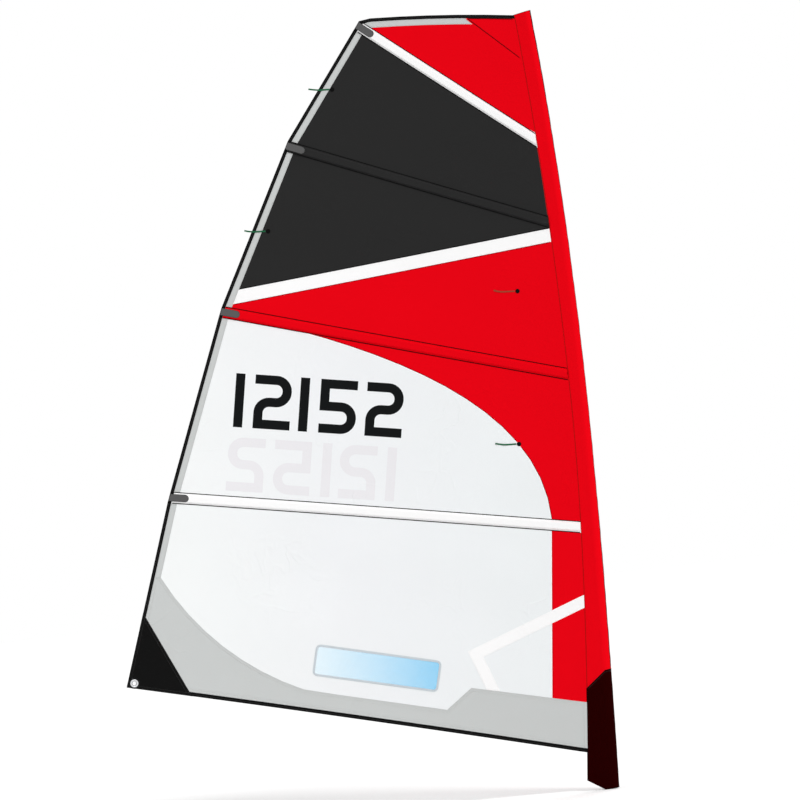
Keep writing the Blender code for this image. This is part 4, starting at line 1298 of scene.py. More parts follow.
@dataclass
class Reinforcement(SewnLayers):
    """Corner patches, the hem, the edge bindings and the tack's angled band."""

    pieces: tuple[ClothPiece, ...] = (
        ClothPiece("head_patch", RED_CLOTH, FOLDED_LEVELS),
        ClothPiece("foot_patch", GREY_CLOTH, FOLDED_LEVELS),
        ClothPiece("clew_patch", BLACK_PATCH, PATCH_LEVELS),
        ClothPiece("edge_tabling", GREY_CLOTH, NOTCHED_LEVELS, strip_width=0.05),
        binding("leech_tape", 0.014),
        binding("head_tape", 0.014),
        binding("foot_tape", 0.016),
        ClothPiece("chevron_starboard", INSERT_CLOTH, (LAYER_INNER, LAYER_OUTER), 0.049),
        ClothPiece("chevron_port", INSERT_CLOTH, (-LAYER_OUTER, -LAYER_INNER), 0.049),
    )


@dataclass(frozen=True)
class SleeveSection:
    """One level cut through the sleeve: a round nose and two flanks that meet in a thin tail."""

    height: float
    nose: Vector
    tail: Vector
    radius: float
    tail_half: float
    ahead: Vector
    lean: float
    straight: float

    @property
    def round_way(self) -> float:
        """The way round the nose, from its tip to where a flank starts."""
        return self.radius * (math.pi / 2 + self.lean)

    @property
    def half_girth(self) -> float:
        """The way round one side, from the nose's tip to the end of the tail."""
        return self.round_way + self.straight + (math.pi / 2 - self.lean) * self.tail_half

    def out(self, turn: float, sign: float) -> Vector:
        """The way out of the skin at a turn from straight ahead."""
        side = Vector((-self.ahead.y, self.ahead.x))
        return self.ahead * math.cos(turn) + side * (sign * math.sin(turn))

    def spot(self, way: float, grow: float) -> tuple[Vector, Vector]:
        """A point over the skin, and the way out of the skin there.

        Args:
            way: The way round from the nose's tip, positive to port.
            grow: How far outside the skin it lies.
        Returns:
            The point and the way out, as (x, y).
        """
        sign, way = (1.0, way) if way >= 0 else (-1.0, -way)
        reach = math.pi / 2 + self.lean
        if way <= self.round_way:
            out = self.out(way / self.radius, sign)
            return self.nose + out * (self.radius + grow), out
        if way <= self.round_way + self.straight:
            out = self.out(reach, sign)
            back = Vector((-out.y, out.x)) * sign
            return self.nose + out * (self.radius + grow) + back * (way - self.round_way), out
        out = self.out(reach + (way - self.round_way - self.straight) / self.tail_half, sign)
        return self.tail + out * (self.tail_half + grow), out


@dataclass
class LuffSleeve:
    """The sleeve that slides over the mast, its dark boot and the plug at its head."""

    wall: float = 0.0012
    tail_half: float = 0.0015
    around: int = 56
    along: int = 150
    boot_along: int = 30
    boot_swell: float = 0.0006
    boot_wall: float = 0.0018
    lap: float = 0.012
    head_aft: Point = (-0.0605, 3.233)
    head_fore: Point = (0.0255, 3.247)
    boot_top_line: tuple[Point, ...] = ((-0.058, 0.418), (0.020, 0.482), (0.045, 0.4855))
    mouth_aft: Point = (-0.106, 0.034)
    mouth_low: Point = (-0.032, -0.012)
    mouth_fore: Point = (0.060, -0.006)
    wrinkle: float = 0.0011
    fine_wrinkles: Point = (9, 26)
    broad_wrinkles: Point = (3, 5)
    broad_share: float = 0.6
    end_still: float = 0.01
    still_ends: float = 0.06
    seam_still: Point = (0.006, 0.032)
    edge_tries: int = 6
    lay_flat_share: float = 0.999
    piping: float = 0.0011
    hem: float = 0.0009

    def section(self, height: float) -> SleeveSection:
        """The sleeve's level cut at a height.

        Args:
            height: The height up the luff.
        Returns:
            The cut.
        """
        radius = LUFF.nose_radius(height)
        nose = Vector((LUFF.nose_x(height), 0.0))
        tail_x = LUFF.seam_x(height) + self.tail_half
        tail = Vector((tail_x, LIE.belly(tail_x)))
        span = (nose - tail).length
        return SleeveSection(height, nose, tail, radius, self.tail_half, (nose - tail).normalized(),
                             math.asin((radius - self.tail_half) / span),
                             math.sqrt(span**2 - (radius - self.tail_half) ** 2))

    def skin(self, section: SleeveSection, way: float, grow: float) -> Vector:
        """A point of the crumpled skin.

        Args:
            section: The level cut that it lies on.
            way: The way round from the nose's tip, positive to port.
            grow: How far outside the skin it lies.
        Returns:
            The point.
        """
        spot, out = section.spot(way, grow)
        spot = spot + out * self.crumple(section, way)
        return Vector((spot.x, spot.y, section.height))

    def crumple(self, section: SleeveSection, way: float) -> float:
        """How far the small cross wrinkles stand out, with none at the ends and the seam.

        Args:
            section: The level cut.
            way: The way round from the nose's tip.
        Returns:
            The height over the plain skin.
        """
        height = section.height
        (round_fine, up_fine), (round_broad, up_broad) = self.fine_wrinkles, self.broad_wrinkles
        flow = noise.noise(Vector((way * round_fine, 3.7, height * up_fine)))
        broad = noise.noise(Vector((way * round_broad + 5, 1.3, height * up_broad)))
        still, free = self.end_still, self.end_still + self.still_ends
        ends = smoothstep(self.head_aft[1] - height, still, free)
        ends *= smoothstep(height, still, free)
        seam = smoothstep(section.half_girth - abs(way), *self.seam_still)
        return self.wrinkle * (flow + self.broad_share * broad) * ends * seam

    def line_height(self, low: Point, high: Point, x: float) -> float:
        """Height at x of the line through two points."""
        return low[1] + (high[1] - low[1]) * (x - low[0]) / (high[0] - low[0])

    def head_height(self, x: float) -> float:
        """The head's cut."""
        return self.line_height(self.head_aft, self.head_fore, x)

    def boot_top(self, x: float) -> float:
        """The upper edge of the boot."""
        aft, middle, fore = self.boot_top_line
        return min(self.line_height(aft, middle, x), self.line_height(middle, fore, x))

    def mouth(self, x: float) -> float:
        """The lower edge of the boot."""
        slant = self.line_height(self.mouth_low, self.mouth_aft, x)
        return max(slant, self.line_height(self.mouth_low, self.mouth_fore, x))

    def cut_section(self, share: float, cut: CutHeight, grow: float = 0.0) -> SleeveSection:
        """The level cut in which a slanted edge passes a share of the way round.

        Args:
            share: The way round, from the seam on one face to the seam on the other.
            cut: The edge's height for an x.
            grow: How far outside the skin the edge lies.
        Returns:
            The level cut.
        """
        height = cut(0.0)
        for _ in range(self.edge_tries):
            section = self.section(height)
            height = cut(section.spot(self.way(section, share), grow)[0].x)
        return self.section(height)

    def way(self, section: SleeveSection, share: float) -> float:
        """The way round from the nose's tip for a share of the whole girth."""
        return (share * 2 - 1) * section.half_girth

    def tube(self, name: str, low: CutHeight, high: CutHeight, along: int, grow: float,
             wall: float) -> MESH:
        """A sleeve of cloth between two slanted cuts.

        Args:
            name: The piece's name.
            low: The lower cut's height for an x.
            high: The upper cut's height for an x.
            along: Faces along the luff.
            grow: How far outside the skin it lies.
            wall: Its thickness.
        Returns:
            The piece.
        """
        ends: dict[float, tuple[float, float]] = {}

        def place(share: float, rise: float) -> Vector:
            """Places a point of the tube.

            Args:
                share: The share of the way round.
                rise: The share of the way up.
            Returns:
                The point.
            """
            key = round(share, 4)
            if key not in ends:
                ends[key] = tuple(self.cut_section(share, cut, grow).height for cut in (low, high))
            start, end = ends[key]
            section = self.section(start + (end - start) * rise)
            return self.skin(section, self.way(section, share), grow)

        piece = mapped_grid(name, self.around, along, place)
        closed_up(piece, 1e-5)
        lead = max(piece.data.polygons, key=lambda polygon: polygon.center.x)
        if lead.normal.x < 0:
            with editing(piece):
                bpy.ops.mesh.flip_normals()
        apply_modifier(piece, "SOLIDIFY", thickness=wall, offset=-1.0, use_even_offset=False)
        smooth(piece, 40)
        return piece

    def rim(self, name: str, cut: CutHeight, drop: float, grow: float, radius: float,
            finish: Finish) -> None:
        """A round piping all the way along a slanted edge.

        Args:
            name: The piece's name.
            cut: The edge's height for an x.
            drop: How far below the edge it lies.
            grow: How far its middle lies outside the skin.
            radius: Its radius.
            finish: Its finish.
        """
        def place(share: float, turn: float) -> Vector:
            """Places a point of the piping.

            Args:
                share: The share of the way along.
                turn: The share of the way round the piping.
            Returns:
                The point.
            """
            section = self.cut_section(share, lambda x: cut(x) - drop, grow)
            over = self.section(section.height + radius * math.sin(2 * math.pi * turn))
            out = grow + radius * math.cos(2 * math.pi * turn)
            return self.skin(over, self.way(over, share), out)

        ring(name, self.around * 2, 8, place, 60, finish)

    def build(self) -> None:
        """Makes the sleeve and its boot, and finishes the plug."""
        sleeve = self.tube("luff_sleeve_cloth", lambda x: self.boot_top(x) - self.lap / 4,
                           self.head_height, self.along, 0.0, self.wall)
        dress(sleeve, SLEEVE_CLOTH, nodes=("luff_sleeve",))
        declare_sheet(sleeve, self.unrolled(sleeve))
        boot = self.tube("sleeve_boot_cloth", self.mouth, self.boot_top, self.boot_along,
                         self.boot_swell, self.boot_wall)
        dress(boot, BOOT_CLOTH, nodes=("sleeve_boot",))
        declare_sheet(boot, self.unrolled(boot))
        swell, piping = self.boot_swell, self.piping
        self.rim("boot_top_piping", self.boot_top, 0.0, swell, piping, DARK_THREAD)
        self.rim("boot_mouth_piping", self.mouth, -piping, swell / 2, piping, DARK_THREAD)
        self.rim("sleeve_head_hem", self.head_height, self.hem, 0.0, self.hem, DARK_RED_TAPE)
        repaint("sleeve_head_cap", BLACK_PATCH)

    def unrolled(self, piece: MESH) -> FlatCut:
        """The size that a sleeve was cut to before it was sewn into a tube.

        Args:
            piece: The sleeve.
        Returns:
            Its cut size.
        """
        area = sum(polygon.area for polygon in piece.data.polygons) / 2
        heights = [vert.co.z for vert in piece.data.vertices]
        length = max(heights) - min(heights)
        return FlatCut(area / length, length, area * self.lay_flat_share)


@dataclass
class BattenPockets:
    """The pockets, the tension boxes on the leech and what slides in them."""

    strip_width: float = 0.062
    crown_width: float = 0.0034
    crown_steps: int = 4
    inner_width: float = 0.0026
    inner_steps: int = 3
    crown_angle: float = 25.0
    finishes: tuple[ClothFinish, ...] = (INSERT_CLOTH, DARK_CLOTH, RED_CLOTH, INSERT_CLOTH)
    lip_out: float = 0.0006
    lip_sink: float = 0.0007
    lip_radius: float = 0.0009

    def round_crown(self, piece: MESH, band: PocketBand) -> None:
        """Rounds the flat pocket's long edges over the batten.

        Args:
            piece: The flat piece.
            band: Its place.
        """
        ahead = Vector((band.up[1], 0, -band.up[0]))
        crowns = ((-POCKET_ROOF, self.crown_width, self.crown_steps),
                  (-POCKET_ROOF_INNER, self.inner_width, self.inner_steps))
        for level, width, segments in crowns:
            mesh = piece.data
            with editing(piece):
                bpy.ops.mesh.select_mode(type="EDGE")
                bpy.ops.mesh.select_all(action="DESELECT")
                bpy.ops.mesh.edges_select_sharp(sharpness=math.radians(self.crown_angle))
            for edge in mesh.edges:
                a, b = (mesh.vertices[i].co for i in edge.vertices)
                flat = max(abs(a.y - level), abs(b.y - level)) < SAME_LEVEL
                edge.select = edge.select and flat and abs((b - a).normalized().dot(ahead)) > 0.999
            bpy.ops.object.mode_set(mode="EDIT")
            bpy.ops.mesh.bevel(offset=width, offset_type="OFFSET", segments=segments, profile=0.5)
            bpy.ops.object.mode_set(mode="OBJECT")
            with editing(piece):
                bpy.ops.mesh.select_mode(type="VERT")

    def box_lip(self, number: int) -> None:
        """The rolled lip round the roof of one tension box.

        Args:
            number: The box's number.
        """
        solid = merged_copy(f"tension_box_{number}", f"tension_box_{number}_lip_start")
        with editing(solid):
            bpy.ops.mesh.dissolve_limited(angle_limit=math.radians(1))
        mesh = solid.data
        roof = min(mesh.polygons, key=lambda polygon: polygon.area * polygon.normal.y)
        normal = roof.normal.copy()
        rim = [mesh.vertices[i].co.copy() for i in roof.vertices]
        bpy.data.objects.remove(solid)
        count = len(rim)
        ways = [(rim[(i + 1) % count] - rim[i]).normalized() for i in range(count)]
        corners = []
        for i, corner in enumerate(rim):
            outward = (ways[i - 1] + ways[i]).normalized().cross(normal)
            mitre = max(0.5, outward.dot(ways[i].cross(normal)))
            middle = corner + outward * (self.lip_out / mitre) - normal * self.lip_sink
            corners.append((middle, outward / mitre))

        def place(along: float, around: float) -> Vector:
            """Places a point of the lip.

            Args:
                along: The share of the way along.
                around: The share of the way round the lip.
            Returns:
                The point.
            """
            spot, outward = corners[round(along * count) % count]
            turn = 2 * math.pi * around
            return spot + (outward * math.cos(turn) + normal * math.sin(turn)) * self.lip_radius

        ring(f"tension_box_{number}_lip", count, 8, place, 60, BOX_LIP)

    def build(self) -> None:
        """Makes the pockets and finishes the solids of the battens and their boxes."""
        levels = (CLOTH_FACE, LAYER_INNER, LAYER_OUTER, POCKET_ROOF_INNER, POCKET_ROOF)
        for (number, band), finish in zip(POCKETS.items(), self.finishes):
            node = f"batten_pocket_{number}"
            cloth = ClothPiece(node, finish, levels, strip_width=self.strip_width)
            piece = cloth.build(lambda piece, place=band: self.round_crown(piece, place))
            apply_modifier(piece, "WEIGHTED_NORMAL", weight=100, keep_sharp=True)
            repaint(f"tension_box_{number}", BOX_PLASTIC)
            self.box_lip(number)
            for solid, plain in (("batten_cap", TIP_PLASTIC), ("tension_screw", STEEL),
                                 ("tension_pusher", PUSHER_PLASTIC), ("batten", FIBRE),
                                 ("batten_tip", TIP_PLASTIC)):
                repaint(f"{solid}_{number}", plain)


@dataclass
class ClewEyelet:
    """The pressed eyelet in the clew: a barrel with its flange, and a ring closed over it."""

    centre: Point = (-1.932, 0.650)
    bore: float = 0.0065
    barrel: float = 0.0095
    flange: float = 0.017
    roll: float = 0.0025
    rise: float = 0.0012
    plate: float = 0.0012
    gap: float = 0.0003
    lip: float = 0.0007
    groove: float = 0.0091
    groove_half: float = 0.0008
    groove_depth: float = 0.0004
    steps: int = 72
    roll_steps: int = 10

    @property
    def slope(self) -> float:
        """The belly's slope at the eyelet."""
        x = self.centre[0]
        return (LIE.belly(x + self.bore) - LIE.belly(x - self.bore)) / (2 * self.bore)

    def frame(self, face: Face) -> Matrix:
        """The eyelet's own frame: its z runs out of the cloth on a face.

        Args:
            face: The face.
        Returns:
            The frame's matrix.
        """
        slope = self.slope
        ahead, out = Vector((1, slope, 0)), Vector((slope, -1, 0))
        turn = Matrix((ahead.normalized(), (0, 0, 1), out.normalized())).transposed().to_4x4()
        if face is Face.PORT:
            turn = turn @ Matrix.Rotation(math.pi, 4, "X")
        x, z = self.centre
        return Matrix.Translation((x, LIE.belly(x), z)) @ turn

    def profile(self, face: Face) -> list[Point]:
        """The closed profile of one half.

        Args:
            face: The face that the half's flange lies on.
        Returns:
            The points as (radius, height).
        """
        seat = PATCH_OUTER + self.gap + self.flange * self.slope**2
        top = seat + self.plate
        bore = self.bore if face is Face.STARBOARD else self.barrel + self.gap
        corner = [(bore + self.lip * (1 - math.cos(t)), top - self.lip * (1 - math.sin(t)))
                  for t in (math.pi / 2 * i / 4 for i in range(5))]
        dip = [(self.groove + self.groove_half * s, top - self.groove_depth * d)
               for s, d in ((-1, 0), (-0.5, 0.8), (0, 1), (0.5, 0.8), (1, 0))]
        middle = self.flange - self.roll
        turns = [math.pi * i / self.roll_steps for i in range(self.roll_steps + 1)]
        roll = [(middle - self.roll * math.cos(t), top + self.rise * math.sin(t)) for t in turns]
        if face is Face.PORT:
            return corner + roll + [(self.flange, seat), (bore, seat)]
        inner = -top + self.gap
        return [*corner, *dip, *roll, (self.flange, seat), (self.barrel, seat),
                (self.barrel, inner), (bore, inner)]

    def half(self, name: str, face: Face, node: str) -> None:
        """Turns one half on its axis.

        Args:
            name: The piece's name.
            face: The face that its flange lies on.
            node: The node that it replaces.
        """
        profile, frame_here = self.profile(face), self.frame(face)
        count = len(profile)

        def place(around: float, along: float) -> Vector:
            """Places a point of the half.

            Args:
                around: The share of the way round the axis.
                along: The share of the way along the profile.
            Returns:
                The point.
            """
            radius, height = profile[round(along * count) % count]
            turn = 2 * math.pi * around
            return frame_here @ Vector((radius * math.cos(turn), radius * math.sin(turn), height))

        ring(name, self.steps, count, place, 50, self.finish(), (node,))

    def finish(self) -> EyeletFinish:
        """Bright metal with a dark ring in the groove and under the roll, painted as the shadow
        that falls there.

        Returns:
            The finish.
        """
        groove, half = self.groove, self.groove_half
        # The dark stops round the groove are painted shadow; the others are the metal's own tones.
        rings = ((self.bore, (232, 233, 235)), (groove - half, (226, 227, 229)),
                 (groove, (72, 72, 74)), (groove + half, (96, 96, 98)),
                 (groove + 2.4 * half, (228, 229, 231)), (self.flange, (206, 207, 209)))
        turn = self.frame(Face.STARBOARD)
        place, angles = tuple(turn.translation), tuple(turn.to_euler())
        return EyeletFinish("eyelet_steel", Slot.STEEL, place, angles, rings)

    def build(self) -> None:
        """Makes both halves."""
        self.half("clew_eyelet_barrel", Face.STARBOARD, "clew_eyelet")
        self.half("clew_eyelet_closing_ring", Face.PORT, "clew_eyelet_ring")


@dataclass
class SailNumber:
    """A plain sail number on each face, the port one lower, and painted shade where each shows
    through the cloth.
    """

    digits: str = "12152"
    height: float = 0.225
    stroke: float = 0.0384
    wide: float = 0.1543
    starts: tuple[float, ...] = (0.0, 0.0813, 0.271, 0.3557, 0.5496)
    bend: float = 0.0446
    turn: float = math.radians(-10.35)
    starboard_corner: Point = (-1.404, 1.664)
    port_corner: Point = (-1.4645, 1.404)
    block: float = 0.7039
    bend_steps: int = 7
    lift: float = 0.00008
    thickness: float = 0.00012
    shadow_thickness: float = 0.00004

    def route(self, digit: str) -> list[tuple[float, float, bool]]:
        """The middle line of a digit's stroke.

        Args:
            digit: The digit.
        Returns:
            Points as (across, up, whether the stroke bends round there).
        """
        half = self.stroke / 2
        right, top, middle = self.wide - half, self.height - half, self.height / 2
        routes = {
            "1": [(half, self.height, False), (half, 0.0, False)],
            "2": [(0.0, top, False), (right, top, True), (right, middle, True),
                  (half, middle, True), (half, half, False), (self.wide, half, False)],
            "5": [(self.wide, top, False), (half, top, False), (half, middle, False),
                  (right, middle, True), (right, half, True), (0.0, half, False)],
        }
        return routes[digit]

    def middle_line(self, digit: str) -> list[Vector]:
        """The route with its bends rounded.

        Args:
            digit: The digit.
        Returns:
            The points in order.
        """
        route = self.route(digit)
        points = []
        for i, (across, up, bends) in enumerate(route):
            corner = Vector((across, up))
            if not bends:
                points.append(corner)
                continue
            before, after = Vector(route[i - 1][:2]), Vector(route[i + 1][:2])
            into, out = (before - corner).normalized(), (after - corner).normalized()
            centre = corner + (into + out) * self.bend
            for step in range(self.bend_steps + 1):
                angle = math.pi / 2 * step / self.bend_steps
                spoke = out * self.bend * math.cos(angle) + into * self.bend * math.sin(angle)
                points.append(centre - spoke)
        return points

    def outline(self, digit: str) -> list[Vector]:
        """The closed outline of a digit's stroke.

        Args:
            digit: The digit.
        Returns:
            The outline's points.
        """
        line = self.middle_line(digit)
        ways = [(b - a).normalized() for a, b in zip(line, line[1:])]
        left, right = [], []
        for i, point in enumerate(line):
            before, after = ways[max(0, i - 1)], ways[min(len(ways) - 1, i)]
            mean = (before + after).normalized()
            side = Vector((-mean.y, mean.x))
            reach = self.stroke / 2 / max(0.5, mean.dot(after))
            left.append(point + side * reach)
            right.append(point - side * reach)
        return left + right[::-1]

    def flat_number(self, name: str, corner: Point, mirrored: bool,
                    levels: tuple[float, float]) -> MESH:
        """The number as flat cloth.

        Args:
            name: The piece's name.
            corner: The block's low aft corner as (x, z).
            mirrored: Whether it reads from the other face.
            levels: The piece's two levels.
        Returns:
            The piece.
        """
        curve = bpy.data.curves.new(name, "CURVE")
        curve.dimensions = "2D"
        curve.fill_mode = "BOTH"
        curve.extrude = abs(levels[1] - levels[0]) / 2
        for digit, start in zip(self.digits, self.starts):
            outline = self.outline(digit)
            spline = curve.splines.new("POLY")
            spline.points.add(len(outline) - 1)
            for point, spot in zip(spline.points, outline):
                across = spot.x + start
                point.co = (self.block - across if mirrored else across, spot.y, 0, 1)
            spline.use_cyclic_u = True
        drawn = bpy.data.objects.new(name, curve)
        bpy.context.scene.collection.objects.link(drawn)
        select_only(drawn)
        bpy.ops.object.convert(target="MESH")
        piece = bpy.context.object
        ahead = Vector((math.cos(self.turn), 0, math.sin(self.turn)))
        up = Vector((-math.sin(self.turn), 0, math.cos(self.turn)))
        middle = -(levels[0] + levels[1]) / 2
        for vert in piece.data.vertices:
            across, rise, level = vert.co
            spot = Vector((corner[0], 0, corner[1])) + ahead * across + up * rise
            vert.co = (spot.x, middle - level, spot.z)
        closed_up(piece, 1e-6)
        return piece

    def apply(self, name: str, corner: Point, mirrored: bool, face: Face, finish: Finish,
              thick: float) -> None:
        """Puts one number on a face.

        Args:
            name: The piece's name.
            corner: The block's low aft corner.
            mirrored: Whether it reads from the other face.
            face: The face that it lies on.
            finish: Its finish.
            thick: Its thickness.
        """
        inner = CLOTH_FACE + self.lift
        levels = (face.value * inner, face.value * (inner + thick))
        piece = self.flat_number(name, corner, mirrored, levels)
        cut = flat_cut(piece)
        LIE.divide(piece)
        LIE.lay(piece)
        dress(piece, finish)
        declare_sheet(piece, cut)

    def build(self) -> None:
        """Puts the numbers, and the painted shade where each shows through the cloth, on both
        faces.
        """
        star, port = (self.starboard_corner, False), (self.port_corner, True)
        for name, near, far, finish, thick in (
                ("sail_number", star, port, NUMBER_FILM, self.thickness),
                # The second pair is painted shade: each face's sheet where the other face's number
                # shows through.
                ("show_through", port, star, SHOW_THROUGH_SHADE, self.shadow_thickness)):
            self.apply(f"{name}_starboard", *near, Face.STARBOARD, finish, thick)
            self.apply(f"{name}_port", *far, Face.PORT, finish, thick)


@dataclass
class Telltales:
    """Light ribbons under round stickers, streaming aft."""

    ribbons: tuple[ClothFinish, ...] = (RIBBON, RIBBON, RUSSET_RIBBON, RIBBON)
    length: float = 0.088
    width: float = 0.0065
    thickness: float = 0.0003
    columns: int = 44
    wave: float = 0.0005
    wave_turns: float = 9.0
    phase_step: float = 1.7
    rise: float = math.radians(6.5)
    sag: float = 0.0032
    sag_place: float = 1.4
    kick: float = 0.0024
    lift: float = 0.0012
    lift_turns: float = 7.0
    curl: float = 0.0006
    root_gap: float = 0.0011
    sticker_edge: float = 0.0004

    def sticker(self, number: int) -> None:
        """The round sticker, from its node.

        Args:
            number: The telltale's number.
        """
        node = f"telltale_dot_{number}"
        low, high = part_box(node)
        piece = merged_copy(node, f"telltale_sticker_{number}")
        middle = (low + high) / 2
        shift = LIE.shift(middle.x, middle.z)
        for vert in piece.data.vertices:
            vert.co.y += shift
        with editing(piece):
            bpy.ops.mesh.dissolve_limited(angle_limit=math.radians(3))
        apply_modifier(piece, "BEVEL", width=self.sticker_edge, segments=2, limit_method="ANGLE",
                       angle_limit=math.radians(40))
        smooth(piece, 40)
        dress(piece, STICKER, nodes=(node,))
        wide, tall = high.x - low.x, high.z - low.z
        declare_sheet(piece, FlatCut(wide, tall, math.pi / 4 * wide**2))

    def route(self, number: int) -> list[Vector]:
        """The ribbon's middle line, wavy and a little sagged.

        Args:
            number: The ribbon's number.
        Returns:
            Its points, from the sticker aft.
        """
        root = Vector(joint(f"telltale_{number}_lift")["pos_m"])
        level = LIE.belly(root.x) - root.y
        phase = self.phase_step * number
        points = []
        for i in range(self.columns + 1):
            share = i / self.columns
            along = self.length * share
            x = root.x - self.root_gap - math.cos(self.rise) * along
            wave = self.wave * (math.sin(self.wave_turns * share + phase) - math.sin(phase)) * share
            wave += self.kick * share**2 - self.sag * math.sin(math.pi * share**self.sag_place)
            z = root.z + math.sin(self.rise) * along + wave
            lift = self.lift * math.sin(self.lift_turns * share + phase) ** 2 * share
            y = LIE.belly(x) + LIE.shift(root.x, root.z) - level - lift
            points.append(Vector((x, y, z)))
        return points

    def ribbon(self, number: int) -> None:
        """The ribbon, on the body that lifts.

        Args:
            number: The telltale's number.
        """
        body = f"telltale_{number}"
        points = self.route(number)
        steps = self.columns
        ways = [(points[min(i + 1, steps)] - points[max(i - 1, 0)]).normalized()
                for i in range(steps + 1)]

        def place(along: float, across: float) -> Vector:
            """Places a point of the ribbon.

            Args:
                along: The share of the way along.
                across: The share of the way across.
            Returns:
                The point.
            """
            i = round(along * steps)
            up = Vector((0, 0, 1))
            side = (up - ways[i] * up.dot(ways[i])).normalized()
            curl = self.curl * (2 * across - 1) ** 2
            return points[i] + side * self.width * (across - 0.5) - Vector((0, curl * along, 0))

        piece = mapped_grid(f"telltale_ribbon_{number}", steps, 4, place)
        apply_modifier(piece, "SOLIDIFY", thickness=self.thickness, offset=0.0)
        smooth(piece, 50)
        dress(piece, self.ribbons[number - 1], body=body, nodes=(body,))
        length = sum((b - a).length for a, b in zip(points, points[1:]))
        tuple(points[0])
        [tuple(p) for p in points]

    def build(self) -> None:
        """Makes every telltale."""
        for number in range(1, len(self.ribbons) + 1):
            self.sticker(number)
            self.ribbon(number)


# Stitching


@dataclass(frozen=True)
class Cover:
    """A layer that hides what lies lower than it, as closed outlines in (x, z)."""

    loops: tuple[Line, ...]

    def __post_init__(self) -> None:
        """Keeps the corners of the box round the outlines."""
        points = [point for loop in self.loops for point in loop]
        object.__setattr__(self, "low", (min(p.x for p in points), min(p.y for p in points)))
        object.__setattr__(self, "high", (max(p.x for p in points), max(p.y for p in points)))

    def hides(self, flat: Vector) -> bool:
        """Looks for the layer over a flat point.

        Args:
            flat: The point, as (x, z).
        Returns:
            Whether the layer lies over it.
        """
        if not (self.low[0] < flat.x < self.high[0] and self.low[1] < flat.y < self.high[1]):
            return False
        inside = False
        for loop in self.loops:
            before = loop[-1]
            for point in loop:
                if (point.y > flat.y) != (before.y > flat.y):
                    share = (flat.y - before.y) / (point.y - before.y)
                    if flat.x < before.x + share * (point.x - before.x):
                        inside = not inside
                before = point
        return inside


def moved_aside(line: Line, distance: float, closed: bool = True) -> Line:
    """A line moved to its left.

    Args:
        line: Its points.
        distance: How far, or less than 0 for the right.
        closed: Whether its last point joins its first.
    Returns:
        The moved points.
    """
    count = len(line)
    spans = count if closed else count - 1
    ways = [(line[(i + 1) % count] - line[i]).normalized() for i in range(spans)]
    moved = []
    for i, point in enumerate(line):
        after = ways[min(i, spans - 1)]
        before = ways[i - 1] if closed or i else after
        mean = (before + after).normalized()
        left = Vector((-mean.y, mean.x))
        moved.append(point + left * (distance / max(0.4, mean.dot(after))))
    return moved


@dataclass(frozen=True)
class ClothGround:
    """The face of a layer on the sail, which a row of stitches lies on."""

    face: Face
    level: float

    def spot(self, flat: Vector, height: float) -> Vector:
        """The point over a flat point (x, z), at a height off the layer."""
        out = self.face.value * (self.level + height)
        return Vector((flat.x, LIE.side(flat.x, flat.y) - out, flat.y))


@dataclass(frozen=True)
class SleeveGround:
    """The sleeve's skin, which a row of stitches lies on."""

    sleeve: LuffSleeve
    grow: float = 0.0

    def spot(self, flat: Vector, height: float) -> Vector:
        """The point over a place (way round, height up the luff), at a height off the skin."""
        return self.sleeve.skin(self.sleeve.section(flat.y), flat.x, self.grow + height)


